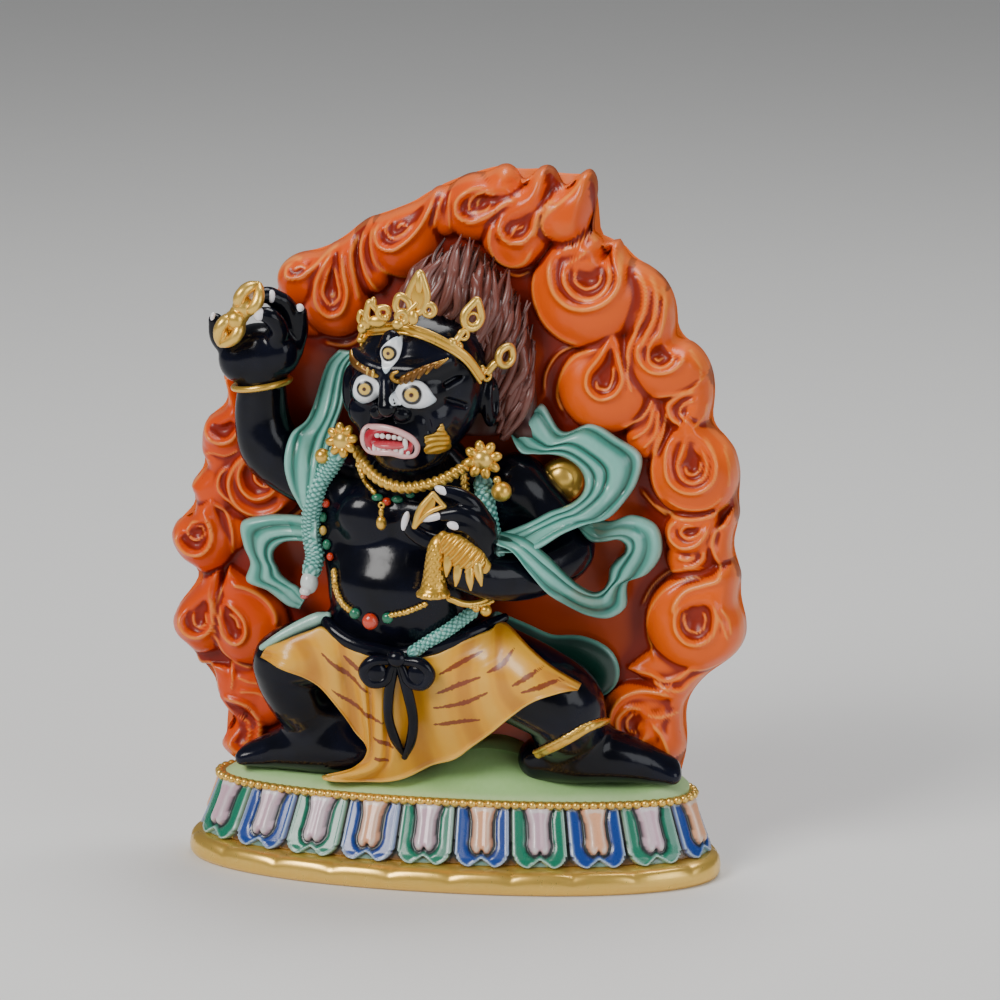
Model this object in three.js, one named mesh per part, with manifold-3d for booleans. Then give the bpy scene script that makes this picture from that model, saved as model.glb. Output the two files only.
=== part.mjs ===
// A painted resin figure of a wrathful protector, lunging on an oval lotus plinth
// in front of a wall of curling flames. Figure, flames and plinth are one casting.
// Millimetres, +Z up, front towards -Y, origin in the middle of the underside.

import * as THREE from 'three';
import { mergeVertices } from 'three/addons/utils/BufferGeometryUtils.js';
import Module from 'manifold-3d';

const wasm = await Module();
wasm.setup();

// Driving dimensions
const plinth = { halfWidth: 78, halfDepth: 30.5, squareness: 2.15, steeper: 1.24 };
const ring = { inset: 8.2, height: 23.4, setBack: 3, bead: 1.3 };
const lotus = { count: 20, phase: 0.75, columns: 4 };
const ground = { top: 28.4 };
const flame = { front: 5, back: 13, curlBack: 12, outlineSteps: 42 };
const curlSides = { small: 7, large: 9, largeFrom: 8 };

const flamePaint = { color: '#d9571c', roughness: 0.35, metalness: 0 };

// Small helpers
const vec = (p) => new THREE.Vector3(p[0], p[1], p[2]);
const mix = THREE.MathUtils.lerp;
const clamp = THREE.MathUtils.clamp;

// Turns a three.js geometry into a closed solid with its faces pointing out.
function solid(geometry) {
  geometry.deleteAttribute('normal');
  geometry.deleteAttribute('uv');
  const merged = mergeVertices(geometry, 1e-4);
  const place = merged.attributes.position.array;
  const corners = merged.index.array;
  const faces = [];
  let volume = 0;
  for (let i = 0; i < corners.length; i += 3) {
    const [a, b, c] = [corners[i], corners[i + 1], corners[i + 2]];
    if (a === b || b === c || a === c) continue;
    faces.push(a, b, c);
    const [p, q, r] = [a, b, c].map((k) => new THREE.Vector3().fromArray(place, k * 3));
    volume += p.dot(q.cross(r));
  }
  if (volume < 0) faces.reverse();
  return new wasm.Manifold(new wasm.Mesh({
    numProp: 3,
    vertProperties: new Float32Array(place),
    triVerts: new Uint32Array(faces),
  }));
}

// Moves every corner of a geometry to map(x, y, z).
function reshape(geometry, map) {
  const place = geometry.attributes.position;
  for (let i = 0; i < place.count; i += 1) {
    place.setXYZ(i, ...map(place.getX(i), place.getY(i), place.getZ(i)));
  }
  return geometry;
}

// An ellipsoid
function orb(centre, radii, sides, rings) {
  const shape = new THREE.SphereGeometry(1, sides, rings);
  shape.rotateX(Math.PI / 2);
  shape.scale(...radii);
  shape.translate(...centre);
  return solid(shape);
}

// A round-ended limb or ribbon: stations are [x, y, z, half width, half thickness]
// and the half thickness is measured towards the viewer.
function limb(stations, sides = 8, rings = 8) {
  const path = new THREE.CatmullRomCurve3(stations.map(vec), false, 'centripetal');
  const shape = new THREE.SphereGeometry(1, sides, rings);
  const last = stations.length - 1;
  const endSwell = 0.82;
  return solid(reshape(shape, (x, y, z) => {
    const level = Math.round(Math.acos(clamp(y, -1, 1)) / Math.PI * rings);
    const along = clamp((level - 1) / (rings - 2), 0, 1);
    const from = Math.min(Math.floor(along * last), last - 1);
    const part = along * last - from;
    const wide = mix(stations[from][3], stations[from + 1][3], part);
    const thick = mix(stations[from][4] ?? stations[from][3],
      stations[from + 1][4] ?? stations[from + 1][3], part);
    const spot = path.getPoint(along);
    const ahead = path.getTangent(along);
    if (level === 0) return spot.addScaledVector(ahead, -0.5 * wide).toArray();
    if (level === rings) return spot.addScaledVector(ahead, 0.5 * wide).toArray();
    const depth = new THREE.Vector3(0, 1, 0).addScaledVector(ahead, -ahead.y);
    if (depth.length() < 0.2) depth.set(0, 0, 1).addScaledVector(ahead, -ahead.z);
    depth.normalize();
    const across = new THREE.Vector3().crossVectors(ahead, depth).normalize();
    const reach = Math.hypot(x, z);
    const swell = level === 1 || level === rings - 1 ? endSwell : 1;
    spot.addScaledVector(across, x / reach * swell * wide);
    spot.addScaledVector(depth, z / reach * swell * thick);
    return spot.toArray();
  }));
}

// A closed stack of oval sections: each is [z, centre x, centre y, half width, half depth].
function stack(sections, sides = 14) {
  const top = sections.length - 1;
  const profile = [new THREE.Vector2(0, 0)];
  sections.forEach((section, level) => profile.push(new THREE.Vector2(1, level)));
  profile.push(new THREE.Vector2(0, top));
  return solid(reshape(new THREE.LatheGeometry(profile, sides), (x, y, z) => {
    const [height, centreX, centreY, halfWidth, halfDepth] = sections[Math.round(y)];
    return [centreX + x * halfWidth, centreY + z * halfDepth, height];
  }));
}

// A closed outline in the XZ plane, given depth from front to back.
function slab(outline, front, back) {
  const depth = back - front;
  const shape = new THREE.ExtrudeGeometry(outline, { depth, steps: 1, bevelEnabled: false });
  return solid(reshape(shape, (x, y, z) => [x, front + z, y]));
}

// A closed smooth outline through a few points.
function roundOutline(points, steps) {
  const curve = new THREE.CatmullRomCurve3(points.map(([x, z]) => new THREE.Vector3(x, z, 0)), true);
  return new THREE.Shape(curve.getSpacedPoints(steps).slice(0, -1)
    .map((p) => new THREE.Vector2(p.x, p.y)));
}

// Plinth: oval stages, each an inset from the foot
function ovalAt(angle, inset) {
  const power = 2 / plinth.squareness;
  const round = (value) => Math.sign(value) * Math.pow(Math.abs(value), power);
  const shift = Math.min(inset, ring.inset) / ring.inset;
  return [
    (plinth.halfWidth - inset) * round(Math.cos(angle)),
    (plinth.halfDepth - inset * plinth.steeper) * round(Math.sin(angle)) + ring.setBack * shift,
  ];
}

// Angles that share the rim out evenly, column by column
function evenAngles(columns) {
  const fine = 2400;
  const reach = [0];
  for (let step = 1; step <= fine; step += 1) {
    const [x, y] = ovalAt(((step - 1) / fine) * Math.PI * 2, ring.inset / 2);
    const [nextX, nextY] = ovalAt((step / fine) * Math.PI * 2, ring.inset / 2);
    reach.push(reach[step - 1] + Math.hypot(nextX - x, nextY - y));
  }
  const angles = [];
  let step = 0;
  for (let column = 0; column < columns; column += 1) {
    const share = ((column / lotus.columns + lotus.phase - 0.5) / lotus.count) % 1;
    if (reach[step] > share * reach[fine]) step = 0;
    while (reach[step] < share * reach[fine]) step += 1;
    angles.push((step / fine) * Math.PI * 2);
  }
  return angles;
}

// How proud each column of a petal stands, from the gap beside it to its middle
const petalRows = {
  lip: [-0.4, 1.6, -0.4],
  dish: [-0.9, 2, 0.4],
  tongue: [-0.9, 1.7, 1.6],
  top: [-0.9, 0.8, 0.9],
};

// The band, the petals, the bead row and the mound are one turned body, carved by columns
function plinthBody() {
  const plain = [0, 0, 0];
  const bead = [0, ring.bead, 0];
  const stages = [[0.6, 0, plain], [0, 2, plain], [0.4, 5.8, plain], [2.9, 7, plain],
    [3.4, 8.2, petalRows.lip], [4.3, 11, petalRows.dish], [5.3, 14, petalRows.tongue],
    [8.4, 21.8, petalRows.top], [8.3, ring.height, bead], [10.2, 24.2, plain], [16, 27, plain]];
  const columns = lotus.count * lotus.columns;
  const angles = evenAngles(columns);
  const profile = [new THREE.Vector2(0, 0)];
  stages.forEach((stage, level) => profile.push(new THREE.Vector2(1, level)));
  profile.push(new THREE.Vector2(0, stages.length - 1));
  return solid(reshape(new THREE.LatheGeometry(profile, columns), (x, y, z) => {
    const [inset, height, proud] = stages[Math.round(y)];
    if (Math.hypot(x, z) < 0.5) return [0, ring.setBack, y > 0 ? ground.top : height];
    const turn = (Math.atan2(x, z) / (Math.PI * 2) + 1) % 1;
    const column = Math.round(turn * columns) % columns;
    const fromGap = column % lotus.columns;
    const carve = proud[Math.min(fromGap, lotus.columns - fromGap)];
    const [px, py] = ovalAt(angles[column], inset - carve);
    return [px, py, height];
  }));
}

// Flame wall: the sheet behind, and the curls that stand proud of it
const sheetOutline = [[-62, 24], [-66, 36], [-68.5, 50], [-74, 62], [-75, 76], [-74, 86],
  [-75, 98], [-73, 110], [-69, 122], [-64, 133], [-57, 146], [-52, 158], [-45, 167], [-33, 175],
  [-20, 183], [-8, 190], [6, 196], [20, 197], [32, 192], [40, 182], [53, 174], [60, 162],
  [68, 150], [71, 138], [77, 124], [79, 110], [77.5, 97], [79.5, 86], [80, 73], [75, 63],
  [67, 53], [64, 44], [65, 34], [63, 26]];

// Curls: [centre x, centre z, radius, tip x, tip z, depth of the bowl in front of the sheet]
const curls = [
  [-64, 34, 7.2, -67, 46, 4], [-74.5, 55.5, 4.5, -68, 50, 3],
  [-75, 67, 9, -70, 82, 5], [-60, 68, 11.5, -66, 83, 5.5], [-74.4, 93, 9.8, -71, 105, 5.5],
  [-72, 109, 6, -71, 118, 4], [-56.4, 112, 11, -58, 126, 5], [-66.5, 124.5, 8, -67.4, 142, 5],
  [-44, 169.5, 7.9, -31, 181, 4.5], [-33.5, 165, 9, -27, 184, 5],
  [-14.4, 181, 9.5, -5, 197, 6], [5, 192, 9, 18, 198, 6], [14.5, 197, 6, 16, 204, 4],
  [18.4, 183.5, 9, 26, 203.5, 6.5], [31.5, 188, 7.5, 38.3, 203, 5.5], [38, 171, 14.8, 46, 184.2, 9],
  [54, 168, 9, 53, 178, 5], [60.2, 151.5, 12.2, 62, 166, 7], [43.5, 142, 13, 46, 158, 7],
  [66, 137, 7, 72, 146, 4.5], [69, 118.5, 12, 67, 133, 7.5], [70, 98, 8.5, 79, 108, 5.5],
  [70, 75, 14, 79, 90, 9], [54, 45, 10.5, 61, 57, 6],
  [74, 62, 7.5, 66, 53, 4.5]];

// A curl is a round bowl with a raised rim, drawn out to a point at its tip. Its profile is
// [share of the radius, height], where -1 is the crest of the rim and behind marks the back.
function curl([centreX, centreZ, radius, tipX, tipZ, proud]) {
  const behind = 2;
  const profile = [[0, behind], [0.95, behind], [1, 0.1], [0.66, -1], [0, 0]];
  const sides = radius < curlSides.largeFrom ? curlSides.small : curlSides.large;
  const reach = Math.hypot(tipX - centreX, tipZ - centreZ) / radius;
  const aim = Math.atan2(tipZ - centreZ, tipX - centreX);
  const wedge = Math.acos(clamp(1 / reach, 0, 1));
  const dome = new THREE.LatheGeometry(profile.map(([r, h]) => new THREE.Vector2(r, h)), sides);
  return solid(reshape(dome, (x, y, z) => {
    const share = Math.hypot(x, z);
    const off = Math.atan2(x, z);
    const stretch = Math.abs(off) < wedge ? 1 / Math.cos(wedge - Math.abs(off)) : 1;
    const rim = mix(1, stretch, Math.pow(clamp(share, 0, 1), 2));
    const lower = mix(1, 1 / rim, 0.5);
    const depth = y === behind ? flame.curlBack : flame.front + y * lower * proud;
    const out = share * radius * rim;
    return [centreX + Math.cos(aim + off) * out, depth, centreZ + Math.sin(aim + off) * out];
  }));
}

function flameWall() {
  return [slab(roundOutline(sheetOutline, flame.outlineSteps), flame.front, flame.back),
    ...curls.map(curl)];
}

// Body, head and limbs
function bodyForms() {
  return [
    stack([[68, -9, -6, 23, 14], [80, -12.5, -8, 21, 16],
      [89, -13.5, -9, 20, 16], [98, -12.5, -8, 20.5, 13.5], [106, -11, -7, 25, 13],
      [113, -9, -6, 27, 11.5], [119, -8, -6, 19, 10.5], [127, -8, -8, 11, 9]], 12),
    orb([-21, -16.5, 106], [8, 5, 7], 7, 4),
    orb([-5, -17, 106], [8.5, 5, 7], 7, 4),
    limb([[-33, -4, 112, 9], [-44, -5, 116, 8.5], [-51, -7, 123, 8.5], [-53, -7, 132, 8.2],
      [-53, -8, 141, 7.2]], 8, 6),
    orb([-53.5, -9, 149.5], [11, 8.5, 9.5], 8, 4),
    limb([[19, -3, 114, 9], [30, -5, 107, 8.5], [35.5, -8, 98, 8], [25, -20, 93, 7.5],
      [11, -30, 93, 6.8]], 8, 7),
    orb([7, -31.5, 106], [7.5, 6.5, 10], 7, 4),
  ];
}

function fingers() {
  const raised = [[-46.5, -11, 154, -41.5, -12, 164.5], [-50, -12, 155, -50, -16, 167.5],
    [-54, -13, 155, -54, -17.5, 166], [-58.5, -12, 153, -64, -15, 161]];
  const folded = [[10, -33, 112, 2.5, -34, 117.5], [11, -34, 108, 1, -35.5, 111.5],
    [5, -33, 101, -5, -33, 103]];
  return [...raised, ...folded].map(([x, y, z, tx, ty, tz]) =>
    limb([[x, y, z, 2.4], [tx, ty, tz, 1.7]], 5, 3));
}

function headForms() {
  return [
    stack([[121, -8.5, -19, 7, 6], [126, -9.5, -18, 13, 12], [132, -8.5, -16, 16.5, 15.5],
      [140, -7.5, -14, 18.8, 17.5], [148, -7, -13, 19.3, 18], [156, -6.5, -12, 17.5, 17],
      [163, -6, -11, 11, 11]], 12),
    orb([-12.2, -31.5, 141.4], [4.4, 4, 4.6], 7, 4),
    orb([-5.2, -28.8, 144.8], [5.4, 2.6, 3.8], 8, 4),
    orb([-18.6, -27.6, 145.6], [4.6, 2.6, 3.8], 8, 4),
    orb([-12, -28.6, 156], [2.6, 1.8, 5], 6, 4),
    limb([[-10.5, -30.5, 149.6, 1.4], [-5, -30.2, 151.2, 1.8], [1.5, -27, 153.4, 0.9]], 5, 4),
    limb([[-14.5, -29.3, 149.8, 1.3], [-19, -26.6, 152, 1.8], [-22, -22.6, 154.6, 1.2]], 5, 4),
    orb([-1.5, -26.5, 137], [5.5, 4, 4.2], 6, 4),
    orb([-11.2, -29.2, 131], [8, 4, 5], 10, 4),
    limb([[2, -24, 134, 0.8], [0.5, -26, 129.5, 2.3], [-2.5, -27.5, 125.8, 1.2]], 5, 4),
    orb([-27.3, -13, 142], [2.6, 3.4, 6.5], 6, 4),
    orb([12.8, -12, 138], [2.8, 3.6, 7], 6, 4),
  ];
}

function mouthHollow() {
  return orb([-11.4, -33.6, 131.2], [6, 3, 2.9], 8, 4);
}

// Hair, standing up like a flame behind the crown
function hairForms() {
  const mass = stack([[127, 9, 1, 12, 6], [138, 9, 1, 15.5, 8], [152, 8, -1.5, 17, 11],
    [166, 5.5, -2, 14.8, 10.5], [176, 5, -1, 10, 8], [184, 5, 1, 2.5, 3]], 10);
  const locks = [[-5, -2], [5, 4], [15, 9]].map(([foot, tip]) =>
    limb([[foot, -9, 150, 2.4], [foot * 0.9, -11, 164, 3], [tip, -6, 180, 1]], 5, 4));
  return [mass, ...locks];
}

// Crown, ear rosettes, collar and chains
function crownForms() {
  const band = limb([[-24, -18, 154, 1.5], [-20, -24, 158.5, 1.6], [-12.5, -28.6, 161.6, 1.7],
    [-5, -29, 162.6, 1.7], [2, -26.5, 160, 1.7], [8, -20.5, 154.6, 1.6], [12, -13, 148, 1.4]], 5, 9);
  const leaves = [[-6, -27.5, 163, -3.5, -27, 178.5, 3.6], [-15.5, -26, 161, -17, -24, 169.5, 2.8],
    [-20.5, -22, 158, -23, -20, 165, 2.4], [5.5, -23, 158, 12, -19, 169.8, 3.2],
    [11.5, -14, 150, 20, -11, 154.4, 3]];
  return [band,
    ...leaves.map(([x, y, z, tx, ty, tz, wide]) => limb([[x, y, z, wide * 0.8, 1.6],
      [(x + tx) / 2, (y + ty) / 2, (z + tz) / 2, wide, 1.8], [tx, ty, tz, 0.8, 0.8]], 5, 4))];
}

// An ear rosette: a star of round petals, let into the hair behind it
function rosette([x, y, z], radius) {
  const petals = 6;
  const notch = 0.72;
  const thick = 3.6;
  const outline = new THREE.Shape();
  for (let step = 0; step < petals * 2; step += 1) {
    const angle = (step / petals) * Math.PI;
    const reach = radius * (step % 2 ? notch : 1);
    const point = [x + Math.cos(angle) * reach, z + Math.sin(angle) * reach];
    if (step) outline.lineTo(...point);
    else outline.moveTo(...point);
  }
  return slab(outline, y, y + thick);
}

// A bangle round a wrist, its plane turned by lean about the X axis
function bangle([x, y, z], radius, thick, lean) {
  const hoop = new THREE.TorusGeometry(radius, thick, 3, 9);
  hoop.rotateX(lean);
  hoop.translate(x, y, z);
  return solid(hoop);
}

function jewelForms() {
  const bead = (x, y, z, radius) => orb([x, y, z], [radius, radius, radius], 6, 4);
  return [
    rosette([-26.6, -21, 129], 5), rosette([12.7, -17.5, 124], 5.4),
    bead(-30.6, -18.5, 125.6, 2.6), bead(17, -15, 117, 3),
    limb([[-23, -19, 125, 2], [-18.5, -22.5, 119.5, 2.1], [-9, -24, 117.4, 2.2], [1, -22, 119.6, 2.1],
      [9, -17, 124, 1.9]], 5, 8),
    orb([-14.5, -20.6, 109], [2.2, 2.4, 3.6], 5, 4),
    limb([[-34, -14, 89, 1.3], [-30, -18.5, 80, 1.4], [-21, -23, 76.2, 1.5], [-12, -23, 77.8, 1.4],
      [-3, -20, 80.5, 1.3]], 4, 7),
    bead(-21.2, -24, 75, 2.8),
    limb([[26.5, -2, 35, 1.4], [30.5, -9, 40.6, 1.6], [37.5, -10.5, 45, 1.6],
      [45.5, -5, 45.6, 1.3]], 5, 6),
    bangle([-53, -8, 141], 7.6, 1.5, 0.1), bangle([11, -29.6, 93.6], 7.4, 1.6, 1.2),
  ];
}

// Legs and feet
function legForms() {
  return [
    limb([[-45, -11, 62, 9.5], [-44, -8, 52, 10], [-42, -4, 43, 8.5], [-41, -1, 35, 7.5]], 8, 5),
    orb([-34, -2, 41], [13, 7, 15], 7, 4),
    limb([[-26, -1, 32, 6, 6], [-40, 0, 33, 7, 6.5], [-52, 1, 31, 5.5, 6.5], [-61, 2, 29.5, 3, 6]], 7, 5),
    limb([[31, -12, 53, 12.5], [33, -8, 48, 12.5], [38, -2, 40, 9.5], [40, 1, 35, 8.5]], 8, 5),
    limb([[29, 1, 33, 6.5, 5.5], [42, 2, 36, 9.5, 6], [54, 3, 33.5, 6.6, 6], [65, 4, 31.5, 3.6, 5.5]], 7, 5),
  ];
}

// Skirt: a cloth over both thighs, solid behind, that hangs to the ground between the legs
const waistLine = [[-50, -12, 68.5], [-36, -16, 73], [-23, -20, 70], [-10, -22, 68.5],
  [5, -21, 70], [18.5, -15, 76], [40, -19, 62.5]];
const hemLine = [[-50, -12, 65.5], [-38.5, -17, 57], [-27, -15, 46], [-21, -12.5, 37],
  [-33, -10.5, 27], [-10, -7.5, 27.5], [1, -12, 37], [16, -17, 47], [40, -20, 59.5]];

const drape = { columns: 18, rows: 4, swell: 3.2, folds: 5, foldDepth: 0.9 };

function skirt() {
  const top = new THREE.CatmullRomCurve3(waistLine.map(vec), false, 'centripetal');
  const low = new THREE.CatmullRomCurve3(hemLine.map(vec), false, 'centripetal');
  const cloth = new THREE.BoxGeometry(1, 1, 1, drape.columns, drape.rows, 1);
  return solid(reshape(cloth, (x, y, z) => {
    const across = x + 0.5;
    const down = 0.5 - y;
    const spot = top.getPoint(across).lerp(low.getPoint(across), down);
    const swell = drape.swell * Math.sin(down * Math.PI);
    const fold = drape.foldDepth * Math.cos(across * Math.PI * 2 * drape.folds)
      * Math.sin(down * Math.PI * 0.8);
    return [spot.x, z > 0 ? flame.front + 1 : spot.y - swell - fold, spot.z];
  }));
}

// Scarves: flat ribbons, looping out beside the arms
const scarves = [
  [[-30, 4, 143, 3, 2], [-38, 3, 138, 6, 2.5], [-42, 1, 126, 7.5, 4], [-40, -4, 114, 4.5, 4],
    [-38, -8, 105, 1.5, 2]],
  [[-42, -3, 98, 3, 3], [-52, 1, 98, 4, 4.5], [-56.5, 1, 91, 5, 5], [-52, 1, 83.5, 4.5, 5],
    [-43.5, 0, 79, 2, 4]],
  [[20, 2, 126.5, 3, 3], [31, 1, 127, 3.5, 4], [42, 0, 126, 6.5, 5], [48, 0, 117, 8, 5],
    [44, -1, 108, 5.5, 5], [33, -4, 104.5, 3.6, 4], [22, -8, 99.5, 4.6, 4], [13, -12, 98, 2.6, 3]],
  [[18, -11, 98, 3, 3], [27, -10, 89, 4.6, 4], [38, -6, 81, 4.8, 4.5], [48, -2, 80, 4, 5],
    [53, 0, 88, 4, 5], [56, 0, 97, 6, 5], [48, -1, 102, 3.4, 4], [40, -2, 97, 2, 3]],
];

function scarfForms() {
  const curlTail = [[16, 0, 73.5, 2.4], [28, 2, 68.5, 2.6], [40, 4, 70, 2.6], [47.5, 4, 66, 2.5],
    [46.5, 4, 59, 2.4], [40, 4, 57.5, 2.2]];
  return [...scarves.map((stations) => limb(stations, 6, Math.round(stations.length * 1.3))),
    limb(curlTail, 5, 8), orb([31, 3, 114.5], [6, 4, 6], 7, 4)];
}

// Serpent garland, its hanging head, the side ropes, the belt and its bow
function ropeForms() {
  return [
    limb([[-30, -14, 122.5, 2.8], [-34.5, -12.5, 113, 3.2], [-36, -12.5, 103, 3.2],
      [-35.5, -14, 94, 3.4]], 6, 6),
    limb([[-35, -15, 93, 3.4], [-37, -16, 88, 5], [-38.5, -17, 83.5, 2.6]], 6, 4),
    limb([[12.4, -11, 117.5, 2.6], [13.6, -12.5, 108, 2.8], [15.6, -12.5, 99.5, 2.6]], 5, 4),
    limb([[12, -17, 82.5, 2], [3, -20, 76.5, 2.5], [-7, -22, 69.5, 2.3]], 5, 4),
    limb([[-33, -11, 74.5, 2.2], [-24, -17, 70.5, 2.3], [-11, -21, 67.4, 2.4], [3, -20, 69.4, 2.3],
      [13, -16, 74, 2.2], [19.5, -10, 77.5, 2]], 4, 7),
    orb([-10.5, -22.6, 68.4], [3.6, 3.6, 3.4], 6, 4),
    orb([-16.6, -21.6, 64], [4.4, 3.6, 4.2], 5, 4), orb([-4.2, -22, 64.6], [4.4, 3.6, 4.2], 5, 4),
    limb([[-11, -22, 65, 3, 2], [-10, -19.6, 50, 4.4, 2.4], [-9.6, -15.5, 38.5, 1.6]], 5, 5),
  ];
}

// Hand-held vajras and bell
function vajra(from, to, size) {
  const at = (share) => from.map((value, axis) => mix(value, to[axis], share));
  return limb([[...at(0), 0.5 * size], [...at(0.25), 1.5 * size], [...at(0.5), 0.8 * size],
    [...at(0.75), 1.5 * size], [...at(1), 0.5 * size]], 5, 7);
}

function emblemForms() {
  const bell = [[88, 0.5, -32.6, 4, 4], [90, 0.5, -32.6, 4, 4], [93, 0.7, -32.5, 3.4, 3.4],
    [101.5, 1.5, -31.6, 3.4, 3], [104.5, 1.8, -31, 2.2, 2.2]];
  return [stack(bell, 8), vajra([14.5, -33.5, 94.5], [4.5, -33.5, 104.5], 2.6),
    vajra([-64, -17.5, 153.5], [-53, -16, 168.5], 2.9)];
}

// All the forms are joined into the one casting
const forms = [plinthBody(), ...flameWall(), ...bodyForms(), ...fingers(), ...headForms(),
  ...hairForms(), ...crownForms(), ...jewelForms(), ...legForms(), skirt(), ...scarfForms(),
  ...ropeForms(), ...emblemForms()];
const casting = wasm.Manifold.union(forms).subtract(mouthHollow());

function toMesh(manifold, name, paint) {
  const { vertProperties, triVerts } = manifold.getMesh();
  const geometry = new THREE.BufferGeometry();
  geometry.setAttribute('position', new THREE.BufferAttribute(vertProperties, 3));
  geometry.setIndex(new THREE.BufferAttribute(triVerts, 1));
  geometry.computeVertexNormals();
  const mesh = new THREE.Mesh(geometry, new THREE.MeshStandardMaterial(paint));
  mesh.name = name;
  return mesh;
}

const group = new THREE.Group();
group.add(toMesh(casting, 'statue', flamePaint));

export default group;
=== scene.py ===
import bpy
import numpy as np
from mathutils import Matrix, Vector


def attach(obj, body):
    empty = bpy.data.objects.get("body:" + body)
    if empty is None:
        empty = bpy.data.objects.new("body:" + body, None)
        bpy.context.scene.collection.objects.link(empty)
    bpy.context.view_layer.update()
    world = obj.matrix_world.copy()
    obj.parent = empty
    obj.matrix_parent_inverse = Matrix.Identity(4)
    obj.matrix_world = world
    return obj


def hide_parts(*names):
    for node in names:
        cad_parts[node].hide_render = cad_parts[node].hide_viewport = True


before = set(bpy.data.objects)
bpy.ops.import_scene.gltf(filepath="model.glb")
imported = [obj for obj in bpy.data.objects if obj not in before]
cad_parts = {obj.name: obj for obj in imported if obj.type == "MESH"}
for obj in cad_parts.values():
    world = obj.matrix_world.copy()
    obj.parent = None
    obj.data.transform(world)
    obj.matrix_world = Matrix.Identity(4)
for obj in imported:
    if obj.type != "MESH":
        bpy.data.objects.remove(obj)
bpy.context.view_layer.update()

# Vajrapani statue, a painted resin casting. Lengths in the code are millimetres.
metre = 0.001
whole = 2 * np.pi


# Camera, floor and soft light
view = {"azimuth": 9.75, "elevation": 13.5, "distance": 1200, "lens": 151.8, "aside": 13.59,
        "height": 107.86}


def putCamera():
    turn, lift = np.radians(view["azimuth"]), np.radians(view["elevation"])
    right = Vector((np.cos(turn), np.sin(turn), 0))
    back = Vector((np.sin(turn) * np.cos(lift), -np.cos(turn) * np.cos(lift), np.sin(lift)))
    target = right * view["aside"] + Vector((0, 0, view["height"]))
    data = bpy.data.cameras.new("camera")
    data.lens = view["lens"]
    data.clip_start, data.clip_end = 0.05, 50
    camera = bpy.data.objects.new("camera", data)
    camera.location = (target + back * view["distance"]) * metre
    camera.rotation_euler = back.to_track_quat("Z", "Y").to_euler()
    bpy.context.collection.objects.link(camera)
    bpy.context.scene.camera = camera


# name: place, aimed at, width, height, watts, colour; in metres
lights = {
    "keyLight": [(-0.75, -1.05, 1.15), (0, 0, 0.09), 0.7, 0.7, 25, (1, 0.98, 0.95)],
    "fillLight": [(1.25, -0.8, 0.55), (0, 0, 0.1), 0.9, 0.9, 8, (0.93, 0.96, 1)],
    "topLight": [(0.15, 0.35, 1.3), (0, 0, 0.08), 0.8, 0.5, 11, (1, 1, 1)],
}


def putLights():
    for name, (place, aim, wide, high, watts, tint) in lights.items():
        data = bpy.data.lights.new(name, "AREA")
        data.shape, data.size, data.size_y = "RECTANGLE", wide, high
        data.energy, data.color = watts, tint
        light = bpy.data.objects.new(name, data)
        light.location = place
        light.rotation_euler = (Vector(place) - Vector(aim)).to_track_quat("Z", "Y").to_euler()
        bpy.context.collection.objects.link(light)
    world = bpy.data.worlds.new("softRoom")
    world.use_nodes = True
    sky = world.node_tree.nodes["Background"]
    sky.inputs["Color"].default_value = (0.86, 0.88, 0.92, 1)
    sky.inputs["Strength"].default_value = 0.15
    bpy.context.scene.world = world


putCamera()
putLights()
print("camera and light")


# Material maths: a Wire stands for one socket, and sums and products of wires add Math nodes
class Wire:
    def __init__(self, kit, socket):
        self.kit, self.socket = kit, socket

    def maths(self, operation, *values):
        return self.kit.add("ShaderNodeMath", {"operation": operation}, dict(enumerate(values)))

    def __add__(self, other): return self.maths("ADD", self, other)
    def __sub__(self, other): return self.maths("SUBTRACT", self, other)
    def __rsub__(self, other): return self.maths("SUBTRACT", other, self)
    def __mul__(self, other): return self.maths("MULTIPLY", self, other)
    __radd__, __rmul__ = __add__, __mul__

    def between(self, low, high):  # 0 below low, 1 above high, soft in the middle
        settings = {"interpolation_type": "SMOOTHSTEP"}
        sockets = {"Value": self, "From Min": low, "From Max": high}
        return self.kit.add("ShaderNodeMapRange", settings, sockets)


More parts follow.
